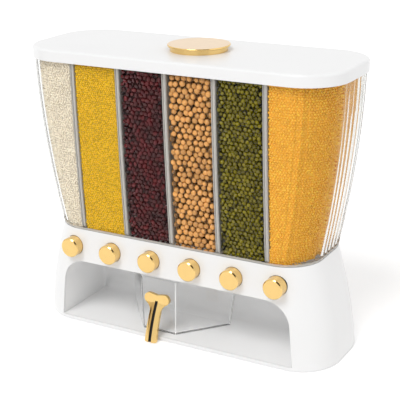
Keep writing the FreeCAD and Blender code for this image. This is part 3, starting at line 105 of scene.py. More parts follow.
class Finishes(bpy.types.PropertyGroup):
    shell: colour("Shell", "White ABS of base and lid", "#EFEFEF")
    gold: colour("Gold", "Gold plating of buttons, collar and handle", "#EECA84")
    knob_top: colour("Knob top", "Paler satin gold of the knob's top", "#F5DCBB")
    silicone: colour("Silicone", "Grey silicone of gasket, seal and feet", "#9A9C9D")
    rice: colour("Rice", "White rice", "#FDF1DA")
    millet: colour("Millet", "Millet", "#FFCE22")
    adzuki: colour("Adzuki", "Adzuki beans", "#4F0B0F")
    soy: colour("Soy", "Soybeans", "#E3A45C")
    mung: colour("Mung", "Mung beans", "#6F6506")
    corn: colour("Corn", "Corn grits", "#FFBE40")


def body_sizes():
    return bpy.context.scene.dispenser_sizes


def finishes():
    return bpy.context.scene.dispenser_finishes


# Materials


def add_node(tree, kind, settings=None, links=None):
    """Adds a node, sets its properties and sockets, and links its inputs to other nodes' outputs.

    A socket goes by its name, or by its number where several have the same name.
    """
    node = tree.nodes.new(kind)
    for name, value in (settings or {}).items():
        if isinstance(name, int) or name in node.inputs:
            node.inputs[name].default_value = value
        else:
            setattr(node, name, value)
    for name, socket in (links or {}).items():
        tree.links.new(socket, node.inputs[name])
    return node


def new_material(name):
    """A material and its empty node tree."""
    material = bpy.data.materials.new(name)
    material.use_nodes = True
    material.node_tree.nodes.clear()
    return material, material.node_tree


def with_surface(material, surface):
    """The material with that shader as its surface."""
    add_node(material.node_tree, "ShaderNodeOutputMaterial", {}, {"Surface": surface})
    return material


def object_place(tree):
    """Coordinates fixed to the piece, in metres."""
    return add_node(tree, "ShaderNodeTexCoord").outputs["Object"]


def per_millimetre(size):
    """The texture scale whose features are about this many millimetres wide."""
    return 1 / (size * MM)


def shade_of(base, share):
    """A colour at a share of its brightness."""
    return tuple(min(channel * share, 1) for channel in base[:3]) + (1.0,)


def any_ray(tree, first, *others):
    """1 for light rays of any of these kinds, and 0 for all others."""
    path = add_node(tree, "ShaderNodeLightPath")
    found = path.outputs[first]
    for kind in others:
        either = add_node(
            tree, "ShaderNodeMath", {"operation": "MAXIMUM"}, {0: found, 1: path.outputs[kind]}
        )
        found = either.outputs["Value"]
    return found


def textured_surface(name, base, settings, roughness, fine, relief, coarse=None, shade=1.0, spread=(0, 0)):
    """A surface with a fine texture in its gloss and its relief, and a coarse one in its tone.

    A texture is a feature size in millimetres and a level of detail, relief a bump's strength and its depth
    in millimetres. The coarse texture leads to a shade of the base, the fine one spreads the roughness.
    """
    material, tree = new_material(name)
    place = object_place(tree)
    skin, cloud = [
        add_node(
            tree, "ShaderNodeTexNoise", {"Scale": per_millimetre(size), "Detail": detail}, {"Vector": place}
        )
        for size, detail in (fine, coarse or fine)
    ]
    tone = add_node(
        tree,
        "ShaderNodeMix",
        {"data_type": "RGBA", "A": base, "B": shade_of(base, shade)},
        {"Factor": cloud.outputs["Fac"]},
    )
    rough = add_node(
        tree,
        "ShaderNodeMapRange",
        {"To Min": roughness + spread[0], "To Max": roughness + spread[1]},
        {"Value": skin.outputs["Fac"]},
    )
    strength, depth = relief
    bump = add_node(
        tree,
        "ShaderNodeBump",
        {"Strength": strength, "Distance": depth * MM},
        {"Height": skin.outputs["Fac"]},
    )
    shader = add_node(
        tree,
        "ShaderNodeBsdfPrincipled",
        settings,
        {
            "Base Color": tone.outputs["Result"],
            "Roughness": rough.outputs["Result"],
            "Normal": bump.outputs["Normal"],
        },
    )
    return with_surface(material, shader.outputs["BSDF"])


def moulded_plastic(name, base, roughness, grain=0.6, strength=0.04):
    """Injection-moulded ABS: a fine spark-eroded skin that softens its highlights, and a faint cloudiness."""
    return textured_surface(
        name,
        base,
        {"IOR": 1.53},
        roughness,
        fine=(grain, 2.0),
        relief=(strength, 0.05),
        coarse=(60.0, 1.0),
        shade=0.97,
        spread=(-0.04, 0.04),
    )


def plated_gold(name, base, roughness):
    """Satin gold plating on a turned part: fine streaks blur what it reflects."""
    return textured_surface(
        name,
        base,
        {"Metallic": 1.0},
        roughness,
        fine=(0.8, 3.0),
        relief=(0.05, 0.03),
        coarse=(9.0, 1.0),
        shade=0.93,
        spread=(-0.05, 0.06),
    )


def frosted_plastic(name, base):
    """Polystyrene with a textured skin: milky, and bright where light reaches it."""
    settings = {"IOR": 1.49, "Transmission Weight": 0.35}
    return textured_surface(name, base, settings, 0.4, fine=(0.8, 2.0), relief=(0.1, 0.05))


def rubbery(name, base):
    """Silicone rubber: matt with a soft bloom of dust."""
    return textured_surface(name, base, {"IOR": 1.41}, 0.62, fine=(2.0, 3.0), relief=(0.1, 0.05), shade=1.15)


def clear_plastic(name, roughness, bend, tint="#FFFFFF"):
    """Clear polystyrene: light bends at its edges, and lamps shine through to what it holds."""
    material, tree = new_material(name)
    waves = add_node(
        tree,
        "ShaderNodeTexNoise",
        {"Scale": per_millimetre(25.0), "Detail": 1.0},
        {"Vector": object_place(tree)},
    )
    bump = add_node(
        tree, "ShaderNodeBump", {"Strength": 0.02, "Distance": 0.2 * MM}, {"Height": waves.outputs["Fac"]}
    )
    shader = add_node(
        tree,
        "ShaderNodeBsdfPrincipled",
        {"Base Color": linear(tint), "Roughness": roughness, "IOR": bend, "Transmission Weight": 1.0},
        {"Normal": bump.outputs["Normal"]},
    )
    open_way = add_node(tree, "ShaderNodeBsdfTransparent", {"Color": linear("#FFFFFF")})
    lamp_light = any_ray(tree, "Is Shadow Ray", "Is Diffuse Ray")
    mix = add_node(
        tree,
        "ShaderNodeMixShader",
        {},
        {0: lamp_light, 1: shader.outputs["BSDF"], 2: open_way.outputs["BSDF"]},
    )
    return with_surface(material, mix.outputs["Shader"])


def celled_surface(name, size, middle, edge, settings):
    """A surface of small cells, each with one tone in its middle and another at its edge."""
    material, tree = new_material(name)
    cells = add_node(
        tree, "ShaderNodeTexVoronoi", {"Scale": per_millimetre(size)}, {"Vector": object_place(tree)}
    )
    tone = add_node(
        tree,
        "ShaderNodeMix",
        {"data_type": "RGBA", "A": middle, "B": edge},
        {"Factor": cells.outputs["Distance"]},
    )
    shader = add_node(tree, "ShaderNodeBsdfPrincipled", settings, {"Base Color": tone.outputs["Result"]})
    return with_surface(material, shader.outputs["BSDF"])


def zinc_steel(name):
    """Zinc-plated steel: bright, with the crystal mottling of the plating."""
    settings = {"Metallic": 1.0, "Roughness": 0.34}
    return celled_surface(name, 0.7, linear("#B9BBBD"), linear("#D2D3D3"), settings)


def painted_gap_shade(name, base, grain, near, deep):
    """Painted shade between the outer grains: the same food's colour, darkened from near to deep."""
    return celled_surface(name, grain, shade_of(base, near), shade_of(base, deep), {"Roughness": 0.9})


def grain_skin(name, base, dark, light, side, roughness, speckle):
    """The skin of dried grains: each has a tone of its own between dark and light, and painted shade on its
    side.
    """
    material, tree = new_material(name)
    grain = add_node(tree, "ShaderNodeNewGeometry")
    ramp = add_node(tree, "ShaderNodeValToRGB", {}, {"Fac": grain.outputs["Random Per Island"]})
    ramp.color_ramp.elements[0].color = shade_of(base, dark)
    ramp.color_ramp.elements[1].color = shade_of(base, light)
    ramp.color_ramp.elements.new(0.5).color = base
    mottle = add_node(
        tree,
        "ShaderNodeTexNoise",
        {"Scale": per_millimetre(speckle), "Detail": 2.0},
        {"Vector": object_place(tree)},
    )
    tone = add_node(
        tree,
        "ShaderNodeMix",
        {"data_type": "RGBA", "blend_type": "MULTIPLY", "Factor": 0.1},
        {"A": ramp.outputs["Color"], "B": mottle.outputs["Color"]},
    )
    # Painted shade: a grain darkens from its face towards its side, where it meets the grains round it
    outward = add_node(tree, "ShaderNodeAttribute", {"attribute_name": PAINTED_SHADE_ATTRIBUTE})
    painted_side_shade = add_node(
        tree, "ShaderNodeMapRange", {"To Min": side, "To Max": 1.0}, {"Value": outward.outputs["Fac"]}
    )
    shaded = add_node(
        tree,
        "ShaderNodeMix",
        {"data_type": "RGBA", "blend_type": "MULTIPLY", "Factor": 1.0},
        {"A": tone.outputs["Result"], "B": painted_side_shade.outputs["Result"]},
    )
    bump = add_node(
        tree, "ShaderNodeBump", {"Strength": 0.2, "Distance": 0.1 * MM}, {"Height": mottle.outputs["Fac"]}
    )
    shader = add_node(
        tree,
        "ShaderNodeBsdfPrincipled",
        {"Roughness": roughness, "IOR": 1.34},
        {"Base Color": shaded.outputs["Result"], "Normal": bump.outputs["Normal"]},
    )
    return with_surface(material, shader.outputs["BSDF"])


def shared(name, make, *settings):
    """The material of that name, made the first time it is asked for."""
    return bpy.data.materials.get(name) or make(name, *settings)


def white_shell():
    return shared("satin_white_abs", moulded_plastic, tuple(finishes().shell), 0.3)


def white_inside():
    return shared("matt_white_abs", moulded_plastic, linear("#E9E9E7"), 0.5, 0.9, 0.1)


# Painted light: the alcove's lining is the shell's white ABS, drawn whiter so that the recess reads less
# shaded
def painted_light_lining():
    return shared("bright_white_lining", moulded_plastic, linear("#FAFAFA"), 0.4)


def gold_plate():
    return shared("satin_gold_plating", plated_gold, tuple(finishes().gold), 0.17)


def pale_gold():
    return shared("brushed_pale_gold", plated_gold, tuple(finishes().knob_top), 0.3)


def clear_wall():
    return shared("clear_polystyrene", clear_plastic, 0.0, 1.13)


# Painted shade: the reeded ends are tinted a little grey so that they read darker than the clear walls
def painted_shade_reeds():
    return shared("clear_reeded_polystyrene", clear_plastic, 0.06, 1.13, "#EEEEEC")


def clear_scoop():
    return shared("clear_scoop_plastic", clear_plastic, 0.02, 1.3)


# Painted highlight: the clear scoop's corners, rim and foot are drawn in white frosted plastic so that they
# read as bright lines
def painted_highlight_edge():
    return shared("bright_scoop_edge", frosted_plastic, linear("#FFFFFF"))


def frosted_rail():
    return shared("frosted_rail", frosted_plastic, linear("#CBC7C0"))


def frosted_divider():
    return shared("frosted_divider", frosted_plastic, linear("#E8E4DC"))


# Painted shade: the plated handle's groove is drawn near-black, standing for the shade and dark reflections
# inside it
def painted_groove_shade():
    return shared("dark_lacquer", rubbery, linear("#070403"))


# Modelling helpers


def select_only(piece):
    """Leaves only this piece selected and active, in object mode."""
    if bpy.context.object and bpy.context.object.mode != "OBJECT":
        bpy.ops.object.mode_set(mode="OBJECT")
    bpy.ops.object.select_all(action="DESELECT")
    piece.select_set(True)
    bpy.context.view_layer.objects.active = piece


def named_primitive(name):
    """The primitive just added, named, with its place moved into its mesh."""
    piece = bpy.context.object
    piece.name = name
    piece.data.name = name
    select_only(piece)
    bpy.ops.object.transform_apply(location=True, rotation=True, scale=True)
    return piece


def apply_modifier(piece, kind, settings):
    """Adds a modifier, sets it and applies it."""
    select_only(piece)
    modifier = piece.modifiers.new(kind.lower(), kind)
    for name, value in settings.items():
        setattr(modifier, name, value)
    bpy.ops.object.modifier_apply(modifier=modifier.name)


def edit_selected(piece, element, picks, *steps):
    """In edit mode, selects the elements that a test picks and runs operators on them."""
    select_only(piece)
    bpy.ops.object.mode_set(mode="EDIT")
    bpy.ops.mesh.select_mode(type=element)
    bpy.ops.mesh.select_all(action="DESELECT")
    mesh = bmesh.from_edit_mesh(piece.data)
    mesh.normal_update()
    for item in {"VERT": mesh.verts, "EDGE": mesh.edges, "FACE": mesh.faces}[element]:
        item.select = bool(picks(item))
    mesh.select_flush_mode()
    bmesh.update_edit_mesh(piece.data)
    for operator, settings in steps:
        operator(**settings)
    bpy.ops.object.mode_set(mode="OBJECT")


def shaped_tube(name, rows, ends):
    """A tube through rows of points, all rows with the same number, a multiple of four.

    The points run counterclockwise from above. ends is "joined" when the last row runs into the first,
    "filled" for a face at both, or "open".
    """
    columns = len(rows[0])
    bpy.ops.mesh.primitive_cylinder_add(
        vertices=columns, radius=1, depth=1, end_fill_type="NOTHING", location=(0, 0, 0.5)
    )
    piece = named_primitive(name)
    if len(rows) > 2:
        edit_selected(
            piece,
            "EDGE",
            lambda edge: abs(edge.verts[0].co.z - edge.verts[1].co.z) > 0.5,
            (bpy.ops.mesh.subdivide_edgering, {"number_cuts": len(rows) - 2, "interpolation": "LINEAR"}),
        )
    for vertex in piece.data.vertices:
        row = round(vertex.co.z * (len(rows) - 1))
        turn = math.atan2(vertex.co.y, vertex.co.x) / (2 * math.pi)
        vertex.co = Vector(rows[row][round(turn * columns) % columns]) * MM
    if ends == "joined":
        edit_selected(piece, "EDGE", lambda edge: edge.is_boundary, (bpy.ops.mesh.bridge_edge_loops, {}))
    if ends == "filled":
        edit_selected(piece, "EDGE", lambda edge: edge.is_boundary, (bpy.ops.mesh.fill_holes, {"sides": 0}))
    return piece


def at_height(outline, z):
    return [(x, y, z) for x, y in outline]


def join_pieces(pieces):
    """Joins several pieces into the first."""
    select_only(pieces[0])
    for piece in pieces[1:]:
        piece.select_set(True)
    bpy.ops.object.join()
    return pieces[0]


def cut_away(piece, tool):
    """Cuts a tool out of a piece and removes the tool."""
    apply_modifier(piece, "BOOLEAN", {"operation": "DIFFERENCE", "object": tool, "solver": "EXACT"})
    bpy.data.objects.remove(tool)


def soften(piece, width, angle=40, segments=2):
    """Rounds the sharp edges of a piece a little."""
    apply_modifier(
        piece,
        "BEVEL",
        {
            "width": width * MM,
            "segments": segments,
            "limit_method": "ANGLE",
            "angle_limit": math.radians(angle),
            "use_clamp_overlap": True,
        },
    )


def smooth(piece, angle=35):
    """Smooth shading that keeps flat faces flat."""
    select_only(piece)
    bpy.ops.object.shade_smooth_by_angle(angle=math.radians(angle))
    apply_modifier(piece, "WEIGHTED_NORMAL", {"keep_sharp": True, "mode": "FACE_AREA"})


def give_materials(piece, *materials):
    """Gives a piece these materials in place of those it has."""
    piece.data.materials.clear()
    for material in materials:
        piece.data.materials.append(material)


def place_piece(piece, body, slot, nodes, *materials):
    """Gives a finished piece its materials and the body it rides on, and hides the nodes it stands for."""
    if materials:
        give_materials(piece, *materials)
    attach(piece, body)
    if nodes:
        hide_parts(*nodes)


def lying_cylinder(name, corners, radius, length, middle):
    """A cylinder along Y round a middle point, in millimetres."""
    bpy.ops.mesh.primitive_cylinder_add(
        vertices=corners,
        radius=radius * MM,
        depth=length * MM,
        location=Vector(middle) * MM,
        rotation=(math.pi / 2, 0, 0),
    )
    return named_primitive(name)


def merged_copy(node, name):
    """A copy of a CAD node's mesh whose loose triangles are joined and whose flat faces are whole."""
    piece = bpy.data.objects.new(name, frame["nodes"][node].data.copy())
    bpy.context.scene.collection.objects.link(piece)
    edit_selected(
        piece,
        "VERT",
        lambda vertex: True,
        (bpy.ops.mesh.remove_doubles, {"threshold": 0.002 * MM}),
        (bpy.ops.mesh.dissolve_limited, {"angle_limit": math.radians(0.4)}),
    )
    return piece


# Outlines, in millimetres, counterclockwise from above

CORNER_STEPS = 15
FLUTES = 17
FLUTE_STEPS = 6
# How the base and the tank flare: exponents of their curves
BASE_CURVE = 1.64
TANK_CURVE = 1.76
# From the lid's outline to the tank's rim
LID_TO_TANK = 2.2


def evenly(low, high, steps):
    """The values at that many equal steps from low to high, with both ends."""
    return [low + (high - low) * step / steps for step in range(steps + 1)]


def rounded_outline(half_length, half_depth, radius):
    """A rounded rectangle that starts at the foot of the right end's front corner."""
    points = []
    for quarter in range(4):
        start = math.radians(90 * quarter - 90)
        centre_x = math.copysign(half_length - radius, math.cos(start + math.radians(45)))
        centre_y = math.copysign(half_depth - radius, math.sin(start + math.radians(45)))
        for angle in evenly(start, start + math.radians(90), CORNER_STEPS):
            points.append((centre_x + radius * math.cos(angle), centre_y + radius * math.sin(angle)))
    return points


def end_point(share, half_length, half_depth, radius):
    """A point on the right end at a share of the way from its front to its back."""
    quarter = math.pi / 2 * radius
    straight = 2 * (half_depth - radius)
    distance = share * (2 * quarter + straight)
    if quarter < distance <= quarter + straight:
        return (half_length, distance - quarter - (half_depth - radius))
    if distance <= quarter:
        angle = distance / radius - math.pi / 2
        side = -1
    else:
        angle = (distance - quarter - straight) / radius
        side = 1
    return (
        half_length - radius + radius * math.cos(angle),
        side * (half_depth - radius) + radius * math.sin(angle),
    )


def fluted_outline(half_length, half_depth, radius, depth):
    """A rounded rectangle whose two ends carry convex reeds with valleys of that depth between them."""
    right = []
    count = FLUTES * FLUTE_STEPS
    for step in range(count + 1):
        crest = end_point(step / count, half_length, half_depth, radius)
        valley = end_point(step / count, half_length - depth, half_depth - depth, radius - depth)
        across = (step % FLUTE_STEPS) / FLUTE_STEPS
        sink = (2 * across - 1) ** 2 if 0 < step < count else 0
        right.append(tuple(c + (v - c) * sink for c, v in zip(crest, valley)))
    right.append((0, half_depth))
    return right + [(-x, -y) for x, y in right]


def base_size(share, inset=0):
    """Half length, half depth and corner radius of the base at a share of its height."""
    sizes = body_sizes()
    flare = share ** BASE_CURVE
    return [
        foot - (foot - seam) * flare - inset
        for foot, seam in (
            (sizes.foot_length, sizes.seam_length),
            (sizes.foot_depth, sizes.seam_depth),
            (sizes.foot_radius, sizes.seam_radius),
        )
    ]


def tank_size(share, inset=0):
    """Half length, half depth and corner radius of the tank at a share of its height."""
    sizes = body_sizes()
    bulge = 1 - (1 - share) ** TANK_CURVE
    return [
        foot + (lid - LID_TO_TANK - foot) * bulge - inset
        for foot, lid in (
            (sizes.seam_length, sizes.lid_length),
            (sizes.seam_depth, sizes.lid_depth),
            (sizes.seam_radius, sizes.lid_radius),
        )
    ]


def tank_share(z):
    sizes = body_sizes()
    return min(max((z - sizes.tank_low) / (sizes.tank_top - sizes.tank_low), 0), 1)


# Base, lining and buttons

BASE_LEVELS = 16
BASE_WALL = 3.0
BUTTON_Z = 97.5
BUTTON_RADIUS = 11.75
BUTTON_GAP = 0.35
BUTTON_FACE_Y = -73.89
BUTTON_LENGTH = 12.8
BUTTON_WALL = 1.8
BUTTON_HOLLOW = 11.0
BUTTON_CHAMFER = 1.3


def button_x(number):
    return (number - (CHAMBERS - 1) / 2) * BUTTON_PITCH


def alcove_outline():
    """The alcove's opening as x and height: leaning sides and two round upper corners."""
    floor, corner_x, corner_z, radius = 4.8, 119.5, 49.0, 30.0
    foot_x = 154.0
    reach = math.hypot(foot_x - corner_x, floor - corner_z)
    tangent = math.atan2(floor - corner_z, foot_x - corner_x) + math.acos(radius / reach)
    right = [(foot_x, floor)]
    for angle in evenly(tangent, math.pi / 2, CORNER_STEPS):
        right.append((corner_x + radius * math.cos(angle), corner_z + radius * math.sin(angle)))
    right.append((0, corner_z + radius))
    return right + [(-x, z) for x, z in reversed(right[:-1])] + [(0, floor)]


class DISPENSER_OT_add_base(bpy.types.Operator):
    """Add the flared base shell with its alcove opening and button holes"""

    bl_idname = "dispenser.add_base"
    bl_label = "Add base"

    def execute(self, context):
        sizes = body_sizes()
        height = sizes.base_top - sizes.base_low
        rows = []
        for wall in (0, BASE_WALL):
            side = [
                at_height(rounded_outline(*base_size(share, wall)), sizes.base_low + height * share)
                for share in evenly(0, 1, BASE_LEVELS)
            ]
            rows += reversed(side) if wall else side
        base = shaped_tube("base_moulding", rows, "joined")
        opening = alcove_outline()
        cutter = shaped_tube("alcove_cutter", [[(x, y, z) for x, z in opening] for y in (-90, -20)], "filled")
        edit_selected(
            cutter, "FACE", lambda face: True, (bpy.ops.mesh.normals_make_consistent, {"inside": False})
        )
        cut_away(base, cutter)
        for number in range(CHAMBERS):
            middle = (button_x(number), -62, BUTTON_Z)
            cut_away(base, lying_cylinder("button_cutter", 48, BUTTON_RADIUS + BUTTON_GAP, 30, middle))
        soften(base, 0.7)
        smooth(base)
        place_piece(base, "stand", "white_abs", ["base_shell"], white_shell())
        return {"FINISHED"}


class DISPENSER_OT_add_lining(bpy.types.Operator):
    """Add the alcove's lining with its rounded back"""

    bl_idname = "dispenser.add_lining"
    bl_label = "Add alcove lining"

    def execute(self, context):
        lining = merged_copy("alcove_liner", "alcove_lining")
        smooth(lining, 30)
        # The lining is drawn whiter than the shell: painted light in the recess
        place_piece(lining, "stand", "white_abs", ["alcove_liner"], painted_light_lining())
        return {"FINISHED"}


class DISPENSER_OT_add_buttons(bpy.types.Operator):
    """Add the six gold push buttons"""

    bl_idname = "dispenser.add_buttons"
    bl_label = "Add buttons"

    def execute(self, context):
        middle = (0, BUTTON_FACE_Y + BUTTON_LENGTH / 2, BUTTON_Z)
        first = lying_cylinder("button_cap_1", 64, BUTTON_RADIUS, BUTTON_LENGTH, middle)
        edit_selected(
            first,
            "FACE",
            lambda face: face.normal.y > 0.9,
            (bpy.ops.mesh.inset, {"thickness": BUTTON_WALL * MM}),
            (
                bpy.ops.mesh.extrude_region_move,
                {"TRANSFORM_OT_translate": {"value": (0, -BUTTON_HOLLOW * MM, 0)}},
            ),
        )
        edit_selected(
            first,
            "EDGE",
            lambda edge: all(vertex.co.y < (BUTTON_FACE_Y + 0.1) * MM for vertex in edge.verts),
            (bpy.ops.mesh.bevel, {"offset": BUTTON_CHAMFER * MM, "segments": 1}),
        )
        soften(first, 0.15, 30, 2)
        smooth(first, 20)
        caps = [first]
        for number in range(1, CHAMBERS):
            cap = first.copy()
            cap.data = first.data.copy()
            cap.name = "button_cap_%d" % (number + 1)
            context.scene.collection.objects.link(cap)
            caps.append(cap)
        for number, cap in enumerate(caps):
            cap.data.transform(Matrix.Translation((button_x(number) * MM, 0, 0)))
            node = "button_%d" % (number + 1)
            place_piece(cap, node + "_body", "gold_plated", [node], gold_plate())
        return {"FINISHED"}


# Tank and lid

TANK_LEVELS = 14
FOOT_RING = 2.4
# The lip that reaches from the tank's foot into the base: inset from the seam, wall and reach
LIP_INSET = 4.9
LIP_WALL = 2.0
LIP_REACH = 1.8
# The rails beside each divider: half the slot between them, width, how far they stand off the wall and run
# into it, and how far below the tank's rim they end
RAIL_SLOT = 1.3
RAIL_WIDTH = 1.3
RAIL_DEPTH = 2.6
RAIL_BITE = 0.3
RAIL_TOP = 8.3
# The lowest part of the tank's foot, which is frosted like the rails
FROSTED_FOOT = 1.3
LID_WALL = 1.8
LID_ROUNDING = 3.0
# The ring under the lid: inset from the lid's outline, wall and height
RING_INSET = 7.35
RING_WALL = 1.8
RING_HEIGHT = 7.7
KNOB_X = 6.0


def add_rail(low_x, wall_side):
    """One rail from its lower x on the tank's back (1) or front (-1) wall, along the wall's flare."""
    sizes = body_sizes()
    foot = sizes.tank_low + FOOT_RING
    rows = []
    for z in evenly(foot, sizes.tank_top - RAIL_TOP, TANK_LEVELS):
        wall_y = tank_size(tank_share(z), sizes.tank_wall)[1]
        y_low, y_high = sorted((wall_side * (wall_y + RAIL_BITE), wall_side * (wall_y - RAIL_DEPTH)))
        high_x = low_x + RAIL_WIDTH
        rows.append([(high_x, y_low, z), (high_x, y_high, z), (low_x, y_high, z), (low_x, y_low, z)])
    return shaped_tube("rail", rows, "filled")


class DISPENSER_OT_add_tank(bpy.types.Operator):
    """Add the clear tank with reeded ends, its locating lip and the rails for its dividers"""

    bl_idname = "dispenser.add_tank"
    bl_label = "Add tank"

    def execute(self, context):
        sizes = body_sizes()
        height = sizes.tank_top - sizes.tank_low
        rows = []
        for share in [0, FOOT_RING / height] + evenly(0, 1, TANK_LEVELS)[1:]:
            outline = fluted_outline(*tank_size(share), sizes.flute_depth)
            rows.append(at_height(outline, sizes.tank_low + height * share))
        inner_foot = sizes.tank_low + FOOT_RING
        for z in reversed(evenly(inner_foot, sizes.tank_top, TANK_LEVELS)):
            rows.append(at_height(fluted_outline(*tank_size(tank_share(z), sizes.tank_wall), 0), z))
        lip = [size - LIP_INSET for size in (sizes.seam_length, sizes.seam_depth, sizes.seam_radius)]
        lip_inner = [size - LIP_WALL for size in lip]
        lip_low = sizes.base_top - LIP_REACH
        for ring, z in ((lip_inner, inner_foot), (lip_inner, lip_low), (lip, lip_low), (lip, sizes.tank_low)):
            rows.append(at_height(fluted_outline(*ring, 0), z))
        tank = shaped_tube("fluted_tank", rows, "joined")
        rails = []
        for number in range(1, CHAMBERS):
            middle = (number - CHAMBERS / 2) * DIVIDER_PITCH
            for low in (middle - RAIL_SLOT - RAIL_WIDTH, middle + RAIL_SLOT):
                rails += [add_rail(low, -1), add_rail(low, 1)]
        give_materials(tank, clear_wall(), frosted_rail(), painted_shade_reeds())
        # The lowest ring is frosted, and the reeded ends take the grey-tinted painted shade
        for polygon in tank.data.polygons:
            if polygon.center.z < (sizes.tank_low + FROSTED_FOOT) * MM:
                polygon.material_index = 1
            elif abs(polygon.normal.x) > 0.35 and abs(polygon.center.x) > sizes.seam_length * MM / 2:
                polygon.material_index = 2
        for rail in rails:
            give_materials(rail, frosted_rail())
        tank = join_pieces([tank] + rails)
        smooth(tank, 30)
        place_piece(tank, "stand", "clear_plastic", ["tank"])
        return {"FINISHED"}


class DISPENSER_OT_add_lid(bpy.types.Operator):
    """Add the white lid with its locating ring"""

    bl_idname = "dispenser.add_lid"
    bl_label = "Add lid"

    def execute(self, context):
        sizes = body_sizes()
        outer = (sizes.lid_length, sizes.lid_depth, sizes.lid_radius)

        def ring(inset, z):
            return at_height(rounded_outline(*[size - inset for size in outer]), z)

        low, under, top = sizes.lid_top - sizes.lid_skirt, sizes.tank_top, sizes.lid_top
        rows = [ring(LID_WALL, under), ring(LID_WALL, low + 0.3), ring(LID_WALL - 0.3, low)]
        rows += [ring(0.4, low), ring(0, low + 0.4)]
        for angle in evenly(0, math.pi / 2, 8):
            inset = LID_ROUNDING * (1 - math.cos(angle))
            rows.append(ring(inset, top - LID_ROUNDING * (1 - math.sin(angle))))
        lid = shaped_tube("lid_moulding", rows, "filled")
        inner = RING_INSET + RING_WALL
        ring_low, ring_top = under - RING_HEIGHT, under + 0.5
        rows = [ring(RING_INSET, ring_low), ring(RING_INSET, ring_top)]
        rows += [ring(inner, ring_top), ring(inner, ring_low)]
        locating = shaped_tube("locating_ring", rows, "joined")
        lid = join_pieces([lid, locating])
        smooth(lid)
        place_piece(lid, "lid_body", "white_abs", ["lid"], white_shell())
        return {"FINISHED"}


def turned(profile, centre_x):
    """The rows of a turned part that follow a profile of radius and height."""
    turns = evenly(0, 2 * math.pi, 96)[:-1]
    return [
        [(centre_x + radius * math.cos(turn), radius * math.sin(turn), z) for turn in turns]
        for radius, z in profile
    ]


class DISPENSER_OT_add_knob(bpy.types.Operator):
    """Add the knob's disc and its collar"""

    bl_idname = "dispenser.add_knob"
    bl_label = "Add knob"

    def execute(self, context):
        low, high, radius, edge = 338.3, 340.7, 35.4, 0.8
        middle, half = (low + high) / 2, (high - low) / 2
        profile = [(5.0, low), (radius - edge, low)]
        for angle in evenly(-math.pi / 2, math.pi / 2, 8):
            profile.append((radius - edge + edge * math.cos(angle), middle + half * math.sin(angle)))
        profile.append((30.0, high))
        disc = shaped_tube("knob_plate", turned(profile, KNOB_X), "filled")
        give_materials(disc, gold_plate(), pale_gold())
        for polygon in disc.data.polygons:
            polygon.material_index = int(polygon.normal.z > 0.99 and polygon.center.z > 340 * MM)
        smooth(disc, 50)
        place_piece(disc, "lid_body", "gold_plated", ["knob_disc"])
        collar_profile = [(30.6, 333.4), (32.6, 333.4), (32.6, 338.3), (30.6, 338.3)]
        collar = shaped_tube("knob_ring", turned(collar_profile, KNOB_X), "joined")
        smooth(collar, 50)
        place_piece(collar, "lid_body", "gold_plated", ["knob_collar"], gold_plate())
        return {"FINISHED"}


# Scoop

CUP_X = -22.3
CUP_FLOOR = 4.8
CUP_HEIGHT = 67.2
CUP_RADIUS = 3.6
CUP_WALL = 1.8
CUP_FRONT = -54.4
CUP_BACK = 3.6
CUP_BACK_LEAN = 5.0
# Half widths at the floor, and how much wider each side gets up to the rim
CUP_FRONT_HALF = 22.0
CUP_FRONT_FLARE = 1.6
CUP_BACK_HALF = 70.0
CUP_BACK_FLARE = 8.0
# Where the scoop's upright corners face: degrees from the side towards the back
CUP_CORNER_TURNS = (-64.8, 25.2)


def fan_outline(front, back, front_half, back_half, radius):
    """The scoop's plan: a narrow front, splayed sides and a wide back, with round corners."""
    corners = [
        Vector((front_half, front)),
        Vector((back_half, back)),
        Vector((-back_half, back)),
        Vector((-front_half, front)),
    ]
    points = []
    for number, corner in enumerate(corners):
        before = (corners[number - 1] - corner).normalized()
        after = (corners[(number + 1) % 4] - corner).normalized()
        half_angle = before.angle(after) / 2
        bisector = (before + after).normalized()
        centre = corner + bisector * (radius / math.sin(half_angle))
        sweep = math.pi - 2 * half_angle
        start = math.atan2(-bisector.y, -bisector.x) - sweep / 2
        for angle in evenly(start, start + sweep, 7):
            points.append((centre.x + radius * math.cos(angle) + CUP_X, centre.y + radius * math.sin(angle)))
    return points


def cup_row(height, inset):
    """The scoop's outline at a height above its floor, set in by a wall. It flares most at its back."""
    share = height / CUP_HEIGHT
    front, back = CUP_FRONT, CUP_BACK + CUP_BACK_LEAN * share
    front_half = CUP_FRONT_HALF + CUP_FRONT_FLARE * share
    back_half = CUP_BACK_HALF + CUP_BACK_FLARE * share
    splay = math.atan2(back_half - front_half, back - front)
    front_half += inset * math.tan(splay) - inset / math.cos(splay)
    back_half -= inset * math.tan(splay) + inset / math.cos(splay)
    outline = fan_outline(front + inset, back - inset, front_half, back_half, CUP_RADIUS - inset)
    return at_height(outline, CUP_FLOOR + height)


